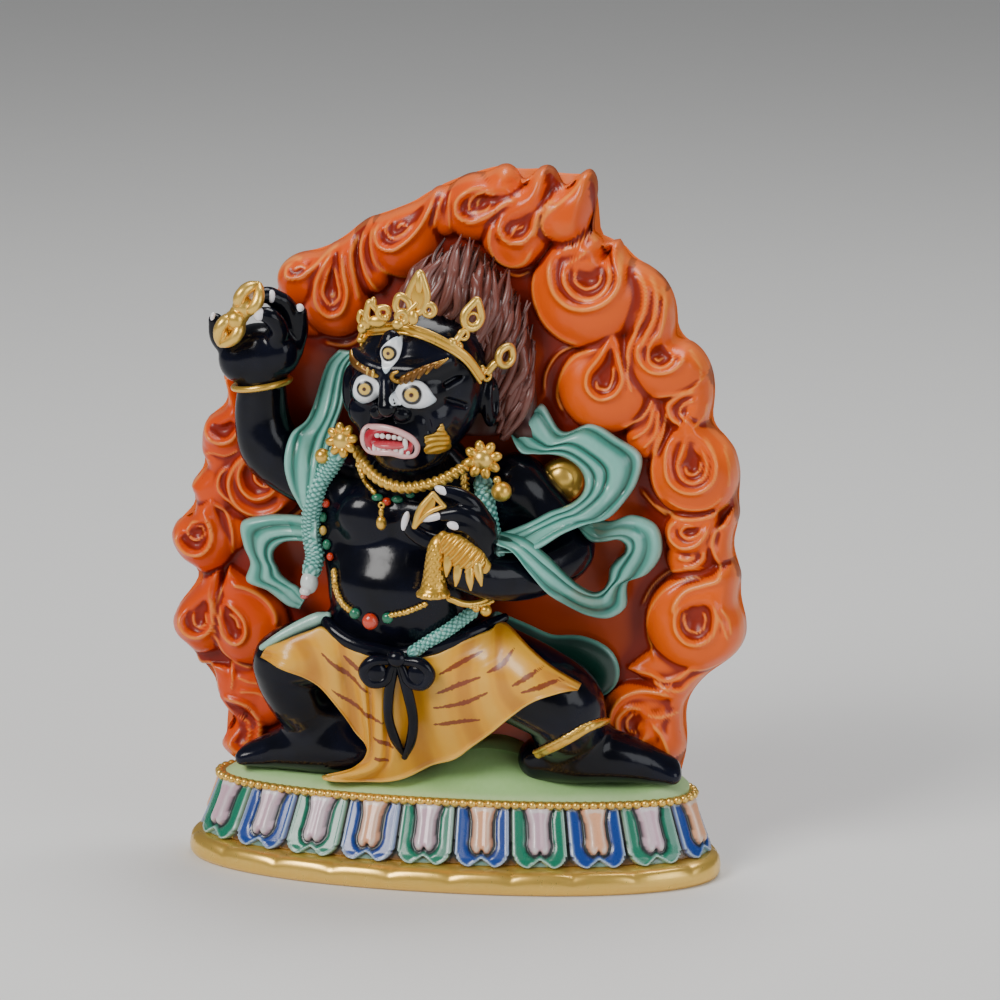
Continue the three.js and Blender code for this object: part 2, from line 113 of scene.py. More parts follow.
class Finish:
    def __init__(self, name):
        self.material = bpy.data.materials.new(name)
        self.material.use_nodes = True
        self.tree = self.material.node_tree
        self.shader = self.tree.nodes["Principled BSDF"]

    def add(self, kind, settings, sockets, output=0):
        node = self.tree.nodes.new(kind)
        for key, value in settings.items():
            setattr(node, key, value)
        for key, value in sockets.items():
            self.feed(node.inputs[key], value)
        return Wire(self, node.outputs[output])

    def feed(self, socket, value):
        if isinstance(value, Wire):
            self.tree.links.new(value.socket, socket)
        elif isinstance(value, tuple) and len(value) == 3 and socket.type == "RGBA":
            socket.default_value = (*value, 1)
        else:
            socket.default_value = value

    def fact(self, name):  # a number kept on the mesh's points
        return self.add("ShaderNodeAttribute", {"attribute_name": name}, {}, "Fac")

    def tint(self, name):  # a colour kept on the mesh's points
        return self.add("ShaderNodeAttribute", {"attribute_name": name}, {}, "Color")

    def place(self):
        return self.add("ShaderNodeTexCoord", {}, {}, "Object")

    def noise(self, size, detail=3.0, stretch=(1, 1, 1)):  # size in mm
        where = self.add("ShaderNodeMapping", {}, {"Vector": self.place(), "Scale": stretch})
        sockets = {"Vector": where, "Scale": 1 / (size * metre), "Detail": detail, "Roughness": 0.55}
        return self.add("ShaderNodeTexNoise", {}, sockets, "Fac")

    def mix(self, share, under, over, way="MIX"):
        settings = {"data_type": "RGBA", "blend_type": way}
        return self.add("ShaderNodeMix", settings, {0: share, 6: under, 7: over}, 2)

    def bump(self, height, depth):  # depth in mm
        sockets = {"Height": height, "Distance": depth * metre, "Strength": 1.0}
        return self.add("ShaderNodeBump", {}, sockets)

    def done(self, **values):
        for key, value in values.items():
            self.feed(self.shader.inputs[key.replace("_", " ")], value)
        return self.material


def handPaint(name, tone, shade, light, gloss=0.3, coat=0.3, brush=0.02, hollowShade=1.0,
              metal=0.0, crest=0.45, marked=False):
    # tone from the piece's paint, with painted shade where the surface lies low and a painted
    # highlight on its crests, with the streaks and uneven gloss of a brush
    kit = Finish(name)
    colour = tone if tone else kit.tint("paint")
    if marked:
        fray = kit.noise(0.9, 3) * 1.5 - 0.75
        share = (kit.fact("marks") + fray).between(-0.02, 0.3) * 0.9
        colour = kit.mix(share, colour, (0.17, 0.018, 0.006))
    relief = kit.fact("relief")
    cloud = kit.noise(9, 2)
    streak = kit.noise(1.6, 4, (1, 1, 0.35))
    # painted shade in the hollows and a painted highlight on the crests
    low = (relief * -1).between(0.06, 0.85) * hollowShade
    high = relief.between(0.12, 0.9)
    colour = kit.mix(low, colour, shade)
    colour = kit.mix(high * crest, colour, light)
    colour = kit.mix((streak - 0.5) * 0.35 + 0.1, colour, shade, "SOFT_LIGHT")
    colour = kit.mix((cloud - 0.4) * 0.3, colour, light, "SOFT_LIGHT")
    rough = streak * 0.16 + (gloss - 0.08) + low * 0.14
    normal = kit.bump(streak + kit.noise(0.5, 2) * 0.3, brush)
    return kit.done(Base_Color=colour, Roughness=rough, Normal=normal, Coat_Weight=coat,
                    Coat_Roughness=0.16, Metallic=metal)


# Meshes worked out as whole arrays
def smoothStep(low, high, value):
    share = np.clip((value - low) / (high - low), 0, 1)
    return share * share * (3 - 2 * share)


def spline(points, count, closed=False):
    # a smooth curve through the points, its other columns carried along, evenly spaced
    rows = np.asarray(points, float)
    if closed:
        rows = np.vstack([rows, rows[:1]])
    places = min(rows.shape[1], 3)
    step = np.sqrt(np.linalg.norm(np.diff(rows[:, :places], axis=0), axis=1)) + 1e-6
    knot = np.concatenate([[0], np.cumsum(step)])
    slope = np.diff(rows, axis=0) / step[:, None]
    tangent = np.vstack([slope[:1], np.zeros_like(slope)])
    tangent[-1] = slope[-1]
    near, far = step[:-1, None], step[1:, None]
    tangent[1:-1] = (slope[:-1] * far + slope[1:] * near) / (near + far)
    if closed:
        mean = (slope[0] * step[-1] + slope[-1] * step[0]) / (step[0] + step[-1])
        tangent[0] = tangent[-1] = mean
    fine = np.linspace(0, knot[-1], 24 * len(rows))
    span = np.clip(np.searchsorted(knot, fine, side="right") - 1, 0, len(step) - 1)
    t = ((fine - knot[span]) / step[span])[:, None]
    h = step[span][:, None]
    curve = ((2 * t**3 - 3 * t**2 + 1) * rows[span] + (t**3 - 2 * t**2 + t) * h * tangent[span]
             + (3 * t**2 - 2 * t**3) * rows[span + 1] + (t**3 - t**2) * h * tangent[span + 1])
    run = np.linalg.norm(np.diff(curve[:, :places], axis=0), axis=1)
    run = np.concatenate([[0], np.cumsum(run)])
    even = np.linspace(0, run[-1], count, endpoint=not closed)
    return np.stack([np.interp(even, run, curve[:, k]) for k in range(rows.shape[1])], 1)


def gridFaces(rows, columns, wrap=True):
    # quads of a grid whose rows run one after the other; wrap joins the last column to the first
    row, column = np.meshgrid(np.arange(rows - 1), np.arange(columns - (not wrap)), indexing="ij")
    right = (column + 1) % columns
    quads = [row * columns + column, row * columns + right, (row + 1) * columns + right,
             (row + 1) * columns + column]
    return np.stack([q.ravel() for q in quads], 1)


def capped(rings):
    # rings of points, shape (rows, columns, 3), closed at both ends by a middle point
    rows, columns = rings.shape[:2]
    points = np.vstack([rings.reshape(-1, 3), rings[0].mean(0), rings[-1].mean(0)])
    column = np.arange(columns)
    right = (column + 1) % columns
    none = np.full(columns, -1)
    first = np.full(columns, rows * columns)
    last = (rows - 1) * columns
    start = np.stack([first, right, column, none], 1)
    end = np.stack([first + 1, last + column, last + right, none], 1)
    return points, np.vstack([gridFaces(rows, columns), start, end])


def merge(shapes):
    points, faces, count = [], [], 0
    for place, face in shapes:
        points.append(place)
        faces.append(np.where(face < 0, -1, face + count))
        count += len(place)
    return np.vstack(points), np.vstack(faces)


def plain(shape, tone):  # one colour on every point
    return np.array(tone) * np.ones((len(shape[0]), 1))


def toward(tone, other, share):  # colours moved a share of the way to another
    return tone + (np.asarray(other) - tone) * share


def unit(vectors):
    return vectors / (np.linalg.norm(vectors, axis=-1, keepdims=True) + 1e-12)


def sweep(stations, rings, sides, facing=(0, -1, 0), capRings=4):
    # an oval section carried along a curve: stations are x, y, z, half width, half thickness;
    # the width lies across the curve and square to facing, and the ends are rounded
    rows = np.asarray(stations, float)
    if rows.shape[1] == 4:
        rows = np.hstack([rows, rows[:, 3:4]])
    path = spline(rows, rings)
    ahead = unit(np.gradient(path[:, :3], axis=0))
    lean = np.linspace(np.pi / 2, 0, capRings + 2)[1:-1]
    ends = []
    for end, sign, order in ((0, -1, lean), (-1, 1, lean[::-1])):
        radius = np.minimum(path[end, 3], path[end, 4])
        centre = path[end, :3] + sign * ahead[end] * radius * np.sin(order)[:, None]
        ends.append(np.hstack([centre, np.cos(order)[:, None] * path[end, 3:5]]))
    path = np.vstack([ends[0], path, ends[1]])
    ahead = np.vstack([np.repeat(ahead[:1], capRings, 0), ahead, np.repeat(ahead[-1:], capRings, 0)])
    across = unit(np.cross(ahead, facing))
    out = np.cross(across, ahead)
    angle = np.arange(sides) * whole / sides
    rings = (path[:, None, :3] + across[:, None] * (path[:, 3, None] * np.cos(angle))[..., None]
             + out[:, None] * (path[:, 4, None] * np.sin(angle))[..., None])
    return capped(rings)


def ball(centre, radii, sides=20, rings=12):
    # an ellipsoid as rings from its south to its north pole
    lift = np.linspace(-np.pi / 2, np.pi / 2, rings + 2)[1:-1]
    angle = np.arange(sides) * whole / sides
    rings = np.stack([np.cos(lift)[:, None] * np.cos(angle), np.cos(lift)[:, None] * np.sin(angle),
                      np.sin(lift)[:, None] + 0 * angle], -1)
    return capped(rings * np.asarray(radii) + np.asarray(centre))


def cornersOf(faces):
    return np.where(faces < 0, faces[:, :1], faces)


def edgesOf(faces):
    corners = cornersOf(faces)
    start, end = corners.ravel(), np.roll(corners, -1, axis=1).ravel()
    return start[start != end], end[start != end]


def relax(values, edges, passes):
    # each point takes half of the mean of its neighbours, passes times
    start, end = edges
    count = np.maximum(np.bincount(start, minlength=len(values)), 1)
    for _ in range(passes):
        means = [np.bincount(start, column[end], len(values)) / count for column in values.T]
        values = (values + np.stack(means, 1)) / 2
    return values


def faceAreas(points, faces):
    corner = points[cornersOf(faces)]
    return np.cross(corner[:, 2] - corner[:, 0], corner[:, 3] - corner[:, 1]) / 2


def normalsOf(points, faces):
    area = faceAreas(points, faces)
    corners = cornersOf(faces).ravel()
    area = np.repeat(area, 4, axis=0)
    return unit(np.stack([np.bincount(corners, area[:, k], len(points)) for k in range(3)], 1))


def reliefOf(points, faces, passes=12, depth=0.5):
    # above 0 where a point stands out of its smoothed surroundings, below 0 where it lies in them
    soft = relax(points, edgesOf(faces), passes)
    height = ((points - soft) * normalsOf(points, faces)).sum(1) / depth
    return np.clip(height, -1, 1)


def outward(points, faces):
    # turns every face over where the shape is inside out
    middle = points[cornersOf(faces)].mean(1) - points.mean(0)
    if (middle * faceAreas(points, faces)).sum() < 0:
        corners = cornersOf(faces)[:, ::-1]
        faces = np.where(faces[:, 3:] < 0, np.stack([faces[:, 2], faces[:, 1], faces[:, 0],
                         faces[:, 3]], 1), corners)
    return points, faces


def putMesh(name, shape, finish, slot, passes=12, depth=0.5, **facts):
    points, faces = shape
    mesh = bpy.data.meshes.new(name)
    mesh.vertices.add(len(points))
    mesh.vertices.foreach_set("co", (points * metre).astype(np.float32).ravel())
    corners = faces[faces >= 0]
    sizes = (faces >= 0).sum(1)
    mesh.loops.add(len(corners))
    mesh.loops.foreach_set("vertex_index", corners.astype(np.int32))
    mesh.polygons.add(len(faces))
    mesh.polygons.foreach_set("loop_start", np.cumsum(sizes).astype(np.int32) - sizes.astype(np.int32))
    mesh.polygons.foreach_set("use_smooth", np.ones(len(faces), bool))
    mesh.update(calc_edges=True)
    facts.setdefault("relief", reliefOf(points, faces, passes, depth) if passes else None)
    for key, values in facts.items():
        if values is None:
            continue
        kind = "FLOAT_COLOR" if np.ndim(values) == 2 else "FLOAT"
        layer = mesh.attributes.new(key, kind, "POINT")
        if kind == "FLOAT":
            layer.data.foreach_set("value", np.asarray(values, np.float32))
        else:
            rgba = np.hstack([values, np.ones((len(values), 1))]).astype(np.float32)
            layer.data.foreach_set("color", rgba.ravel())
    piece = bpy.data.objects.new(name, mesh)
    mesh.materials.append(finish)
    bpy.context.collection.objects.link(piece)
    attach(piece, "root")
    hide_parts("statue")
    return piece


# Finishes
def flameFinish():
    kit = Finish("flamePaint")
    rim, crease, relief = kit.fact("rim"), kit.fact("crease"), kit.fact("relief")
    streak, cloud = kit.noise(2.2, 4, (1, 1, 0.4)), kit.noise(26, 2)
    across = kit.add("ShaderNodeSeparateXYZ", {}, {"Vector": kit.place()}).between(-0.07, 0.08)
    base = kit.mix(across, (0.66, 0.052, 0.001), (0.78, 0.098, 0.001))
    base = kit.mix((cloud - 0.35) * 0.9, base, (0.88, 0.14, 0.002))
    # painted shade: dark red in the creases and on the low plain wall
    colour = kit.mix(crease.between(0.02, 0.6) * 0.92, base, (0.20, 0.008, 0.003))
    # painted highlight along the tops of the rims, and more faintly on all raised relief
    rimHighlight = rim.between(0.3, 1.0) * (0.52 + (streak - 0.5) * 0.7)
    colour = kit.mix(rimHighlight, colour, (1.0, 0.36, 0.06))
    colour = kit.mix(relief.between(0.25, 1.0) * 0.16, colour, (0.9, 0.42, 0.12))
    rough = 0.31 + (streak - 0.5) * 0.16 + crease * 0.15
    normal = kit.bump(streak + kit.noise(0.6, 2) * 0.25, 0.035)
    return kit.done(Base_Color=colour, Roughness=rough, Normal=normal, Coat_Weight=0.12,
                    Coat_Roughness=0.12, Specular_IOR_Level=0.28)


def enamelFinish():
    kit = Finish("navyEnamel")
    cloud, streak, dust = kit.noise(14, 3), kit.noise(2.4, 4), kit.noise(0.7, 2)
    relief = kit.fact("relief")
    colour = kit.mix(cloud.between(0.35, 0.7), (0.0022, 0.0026, 0.0055), (0.0045, 0.0055, 0.014))
    # painted highlight: a lighter navy on raised relief
    colour = kit.mix(relief.between(0.35, 1.0) * 0.5, colour, (0.012, 0.013, 0.028))
    rough = 0.17 + (streak - 0.5) * 0.12 + (dust - 0.5) * 0.04
    normal = kit.bump(streak + cloud * 2, 0.05)
    return kit.done(Base_Color=colour, Roughness=rough, Normal=normal, Coat_Weight=0.1,
                    Coat_Roughness=0.1, Specular_IOR_Level=0.2)


flamePaint = flameFinish()
bodyEnamel = enamelFinish()
# each finish below paints shade into its hollows and a highlight onto its crests, from its shade and light
# colours
goldPaint = handPaint("goldPaint", (0.78, 0.46, 0.065), (0.13, 0.042, 0.006), (0.98, 0.70, 0.20), 0.3, 0.25,
                      metal=0.72, hollowShade=0.9)
petalPaint = handPaint("petalPaint", None, (0.01, 0.02, 0.02), (0.75, 0.85, 0.82), 0.28, 0.4)
groundPaint = handPaint("groundPaint", (0.36, 0.60, 0.24), (0.06, 0.16, 0.035), (0.62, 0.78, 0.45),
                        0.42, 0.15)
scarfPaint = handPaint("scarfPaint", None, (0.008, 0.055, 0.03), (0.55, 0.80, 0.74), 0.32, 0.3)
skirtPaint = handPaint("skirtPaint", None, (0.38, 0.15, 0.012), (0.88, 0.56, 0.11), 0.38, 0.2, marked=True)
hairPaint = handPaint("hairPaint", None, (0.012, 0.002, 0.002), (0.22, 0.075, 0.055), 0.38, 0.2)
trimPaint = handPaint("trimPaint", None, (0.01, 0.01, 0.01), (0.9, 0.9, 0.85), 0.26, 0.4, crest=0.2)
print("finishes")


# Plinth: gold foot, lotus petals, bead row and the green ground
plinth = {"halfWidth": 78, "halfDepth": 30.5, "square": 2.15, "steeper": 1.24, "setBack": 3,
          "petals": 20, "phase": 0.75, "petalColumns": 30, "beads": 124, "bead": 1.4,
          # the colours of leaf, tongue, groove, rim, lip and corner
          "greenPetal": [(0.008, 0.19, 0.11), (0.62, 0.42, 0.50), (0.008, 0.010, 0.016), (0.16, 0.46, 0.34),
                         (0.16, 0.30, 0.27), (0.16, 0.075, 0.015)],
          "bluePetal": [(0.008, 0.05, 0.28), (0.80, 0.40, 0.22), (0.008, 0.010, 0.016), (0.15, 0.30, 0.66),
                        (0.16, 0.30, 0.27), (0.16, 0.075, 0.015)]}


def ovalAt(angle, inset):
    # the plinth's oval, a little squarer than an ellipse; it moves back as it draws in
    power = 2 / plinth["square"]
    x = np.sign(np.cos(angle)) * np.abs(np.cos(angle)) ** power
    y = np.sign(np.sin(angle)) * np.abs(np.sin(angle)) ** power
    back = plinth["setBack"] * np.minimum(inset, 8.2) / 8.2
    return ((plinth["halfWidth"] - inset) * x,
            (plinth["halfDepth"] - plinth["steeper"] * inset) * y + back)


def evenAngles(count, offset=0.0, inset=4.2):
    # angles whose points lie evenly along the oval
    fine = np.linspace(0, whole, 4001)
    x, y = ovalAt(fine, inset)
    run = np.concatenate([[0], np.cumsum(np.hypot(np.diff(x), np.diff(y)))])
    share = (np.arange(count) + offset) / count
    return np.interp(share % 1 * run[-1], run, fine)


def lathe(inset, height, angle):
    # a profile's inset and height, arrays of (rows, columns), carried round the oval
    x, y = ovalAt(angle[None, :] + 0 * inset, inset)
    return np.stack([x, y, height], -1)


def petalRelief(share, height):
    # share runs 0 to 1 over a petal, height is in mm; gives the swell out of the slope and the
    # zone: 0 leaf, 1 tongue, 2 groove, 3 rim, 4 lip below, 5 corner
    across = (share - 0.5) * 17.2
    side = np.abs(across)
    bend = np.clip(side / 8.2, 0, 1)
    foot = 6.5 + 7.0 * (1 - (1 - bend**2.8) ** (1 / 2.8))
    heart = 2.5 * np.clip(1 - side / 3.4, 0, 1) ** 0.9
    outer = np.minimum(height - foot, (8.25 - side) * 1.3)
    edge = np.minimum(outer, height - 6.9 - heart)
    rim = np.exp(-((edge - 0.45) / 0.42) ** 2)
    leaf = smoothStep(-0.35, 0.5, edge)
    lip = smoothStep(-0.35, 0.6, outer)
    half = 3.1 + 0.35 * smoothStep(15, 11.5, height) + 0.9 * smoothStep(18.5, 22.5, height)
    notch = 0.9 * np.exp(-(across / 0.7) ** 2)
    inTongue = np.minimum(half - side, (height - 10.7 - notch) * 0.9)
    inTongue = np.minimum(inTongue, half - np.hypot(across, np.minimum(height - 13.6, 0)) * 1.02)
    tongue = smoothStep(-0.1, 1.6, inTongue)
    groove = np.exp(-((inTongue + 0.7) / 0.6) ** 2)
    swell = 0.85 * lip + 0.9 * leaf + 0.35 * rim - 0.75 * groove * leaf + 1.6 * np.sqrt(tongue) * leaf
    swell -= 0.3 * np.exp(-(across / 0.35) ** 2) * tongue
    zone = np.where(inTongue > -0.1, 1, np.where(inTongue > -1.15, 2, np.where(edge < 0.85, 3, 0)))
    zone = np.where(edge < 0, np.where(outer > 0, 4, 5), zone)
    return swell, zone


def plinthPieces():
    angle = evenAngles(plinth["petals"] * plinth["petalColumns"])
    share = np.arange(len(angle)) / plinth["petalColumns"] - plinth["phase"] + 0.5
    petal, share = np.floor(share).astype(int) % plinth["petals"], share % 1
    scallop = 1 - np.abs(2 * share - 1) ** 3.2

    # gold foot band with a scalloped ledge under every petal
    stages = np.array([[16, -0.0], [2.2, 0], [1.0, 0.05], [0.5, 0.5], [0.1, 1.4], [0, 2.4], [0.1, 3.6],
                       [0.35, 4.6], [0.8, 5.4], [1.5, 6.0], [2.6, 6.6], [3.8, 7.0], [9, 7.2]])
    fine = spline(stages, 24)
    inset, height = np.repeat(fine[:, :1], len(angle), 1), np.repeat(fine[:, 1:], len(angle), 1)
    ledge = np.exp(-((height - 5.6) / 0.8) ** 2) * scallop
    height = height + 0.9 * ledge * (inset < 4)
    inset = inset - 0.35 * ledge
    shape = outward(*capped(lathe(inset, height, angle)))
    putMesh("goldBand", shape, goldPaint, "paint_gold", 14, 0.5)

    # petals
    heights = np.concatenate([np.linspace(5.9, 9.2, 13)[:-1], np.linspace(9.2, 22.6, 42)])
    h = np.repeat(heights[:, None], len(angle), 1)
    swell, zone = petalRelief(share[None, :] + 0 * h, h)
    slope = np.interp(h, [5.9, 7.4, 9.5, 12, 16, 22.6], [4.4, 3.4, 3.9, 5.0, 6.5, 8.9])
    points = lathe(slope - swell * 0.75 + 0.9, h, angle)
    inner = lathe(14 + 0 * h[:1], 22.6 + 0 * h[:1], angle)
    base = lathe(14 + 0 * h[:1], h[:1], angle)
    shape = outward(*capped(np.concatenate([base, points, inner])))
    zone = np.concatenate([zone[:1], zone, zone[:1]]).ravel()
    petal = np.tile(petal, len(heights) + 2)
    tones = np.array([plinth["greenPetal"], plinth["bluePetal"]])
    tone = tones[petal % 2, zone]
    tone[(petal == 11) & (zone == 1)] = tones[0, 1]
    tone = np.vstack([tone, tone[:1], tone[-1:]])
    tone = relax(tone, edgesOf(shape[1]), 1)
    putMesh("lotusPetals", shape, petalPaint, "petal_paint", 10, 0.5, paint=tone)

    # bead row on its gold ring
    stages = np.array([[14, 22.4], [8.8, 22.5], [8.0, 22.7], [7.8, 23.3], [8.2, 23.9], [9.0, 24.15],
                       [10.0, 23.9], [14, 23.8]])
    fine = spline(stages, 24)
    ring = evenAngles(480)
    points = lathe(np.repeat(fine[:, :1], 480, 1), np.repeat(fine[:, 1:], 480, 1), ring)
    shapes = [outward(*capped(points))]
    x, y = ovalAt(evenAngles(plinth["beads"], 0.5, 8), 8.2)
    size = plinth["bead"]
    for bx, by in zip(x, y):
        shapes.append(ball((bx, by, 23.3), (size, size, size * 0.97), 8, 5))
    putMesh("beadRow", merge(shapes), goldPaint, "paint_gold", 3, 0.25)

    # ground: a low mound inside the ring, with soft dents
    inset = np.concatenate([[9.6, 9.9], np.linspace(10.4, 60, 46)])
    angle = evenAngles(240)
    reach = np.minimum(inset, 28)
    rise = 23.5 + 4.9 * (1 - np.exp(-(reach - 9.6) / 6.0))
    inset2, h = np.repeat(reach[:, None], 240, 1), np.repeat(rise[:, None], 240, 1)
    x, y = ovalAt(angle[None, :] + 0 * h, inset2)
    shrink = np.clip((60 - inset) / 32, 0, 1)[:, None] * (inset[:, None] > 28) + (inset[:, None] <= 28)
    x, y = x * shrink, (y - 3) * shrink + 3
    h = h + 0.35 * np.sin(x * 0.21 + 1.3) * np.cos(y * 0.33) * smoothStep(10, 16, inset2)
    h = h + 9.5 * np.exp(-((x - 12) / 16) ** 2) * smoothStep(-15, 6, y) * smoothStep(17, 10, y)
    h = h + 3.2 * np.exp(-(((x - 63) / 9) ** 2 + ((y - 6) / 8) ** 2))
    points = np.stack([x, y, h], -1)
    skirt = points[:1] * [1, 1, 0] + [0, 0, 22.6]
    shape = outward(*capped(np.concatenate([skirt, points])))
    putMesh("ground", shape, groundPaint, "ground_green", 20, 0.8)


# Flame wall: a sheet whose front is worked as bulges, hollows and raised rims
# outline of the wall, x and z, from its lower left round to its lower right
wallOutline = [
    (-62, 23), (-67.3, 26.5), (-70.4, 30.4), (-68.3, 34.3), (-65.8, 37.3), (-69, 41.8),
    (-71.5, 46), (-72, 51.5), (-73.5, 53.5), (-76.4, 53.8), (-77.9, 57), (-79.5, 59.6), (-83, 63),
    (-84.2, 67), (-82.2, 71.5), (-78.4, 75.8), (-75.2, 79.5), (-76.6, 82.8), (-80.6, 85.8),
    (-83.3, 89.7), (-84.1, 93.5), (-82, 97), (-77.5, 99.4), (-76.8, 103.5), (-78.2, 107.8),
    (-76, 110.5), (-73, 114), (-74.7, 118), (-74.6, 122.5), (-73, 127.5), (-69, 130),
    (-66.6, 132.5), (-66.9, 137), (-67.9, 141.9), (-62, 139.8), (-60, 144), (-57.5, 150),
    (-54.5, 156), (-51.3, 161), (-50.6, 164), (-51.8, 167.5), (-51.4, 171.5), (-48.4, 175),
    (-44, 176.8), (-38.8, 177.4), (-35.6, 179.7), (-31, 182), (-28, 185), (-24.5, 187.5),
    (-20.5, 188.5), (-15, 190.8), (-9.5, 193), (-6.9, 195.3), (-5.2, 197), (-2.3, 196.6),
    (1.1, 199.3), (5, 200.9), (9.7, 201.2), (12.2, 203), (14.4, 203.7), (16.8, 202.4),
    (19.6, 197.6), (22.4, 201.5), (25.6, 203.7), (28.3, 202.4), (30.2, 197.4), (33, 198),
    (35.6, 201.6), (37.6, 203.1), (39.4, 201.5), (40, 195), (38.4, 185.8), (40.6, 184),
    (42.4, 181), (43.3, 178.7), (44.4, 181.4), (46, 184), (47.7, 180.6), (49.7, 178),
    (54.4, 176.1), (59, 172.6), (61.9, 167), (62.6, 160.5), (62.9, 155.3), (66.5, 154.8),
    (70.5, 151.8), (73, 146.5), (73.5, 139), (72.8, 131.6), (76, 128.2), (79.6, 124), (81.3, 117),
    (80.7, 111), (81.4, 105.5), (79.8, 99.5), (79.9, 93), (81.9, 88), (81.6, 80), (83.5, 74),
    (83.3, 68.8), (80.5, 64), (74, 59.2), (70, 54.8), (66.2, 48), (66.1, 41.5), (66.8, 36),
    (65, 30), (63, 23), (45, 21), (25, 21), (0, 21), (-25, 21), (-45, 21)]
# bulges: eye x and z, radius, tip x and z, how far it stands out
bulges = [
    (-64, 33, 8, -70, 46, 4.5), (-63, 47, 8, -72, 55, 3.5), (-58, 45, 9, -66, 58, 3),
    (-76, 68, 10, -69, 84, 6.5), (-60.5, 67.5, 12.3, -66, 85, 7), (-75, 92.5, 10.5, -70, 106, 6.8),
    (-68, 96, 8, -72, 84, 3.4), (-70, 108, 8.5, -66, 121, 4.6), (-56.4, 111, 13, -58, 130, 6.4),
    (-66.8, 124.5, 8.8, -66.5, 143, 6.2), (-68, 117, 8, -66, 126, 4.4),
    (-44.5, 169.5, 8.5, -30, 183, 6), (-41, 163, 10, -33, 180, 3.4),
    (-34, 163.5, 10.3, -30, 187, 7), (-24, 172, 6, -24, 190, 4),
    (-14.5, 181.5, 10.3, -4, 199, 7.2), (-3, 190, 7, -4, 199, 4.6),
    (6.5, 191.5, 9.6, 21, 200, 6.8), (14, 198, 7, 15, 206, 4.6), (17.5, 184.5, 10, 26, 206, 7.6),
    (31.5, 189.5, 7.8, 38.5, 205, 7.8), (38, 179, 7, 41, 187, 6), (38, 168.5, 16.2, 46, 187, 9.5),
    (54.5, 164, 9.5, 52, 180, 5.8), (60.2, 151, 13.2, 62, 171, 8),
    (43.3, 141.5, 13.5, 46, 160, 7.6), (67, 137, 8, 72, 147, 5.4), (56, 128, 7, 58, 143, 4.2),
    (68.8, 117.8, 13, 67, 136, 8.8), (68.5, 100, 8.2, 76, 108, 6.4), (68.5, 93, 7.5, 76, 101, 5),
    (77, 96, 5, 80, 108, 4.6), (70.5, 74.5, 15.2, 80, 92, 9.6), (78, 70, 7, 82, 84, 5.2),
    (66, 61, 10, 50, 60, 4.6), (53, 45, 10.8, 64, 57, 6.8), (61.5, 40, 7.5, 66, 52, 4.8),
    (62, 53, 7, 74, 62, 4.6)]
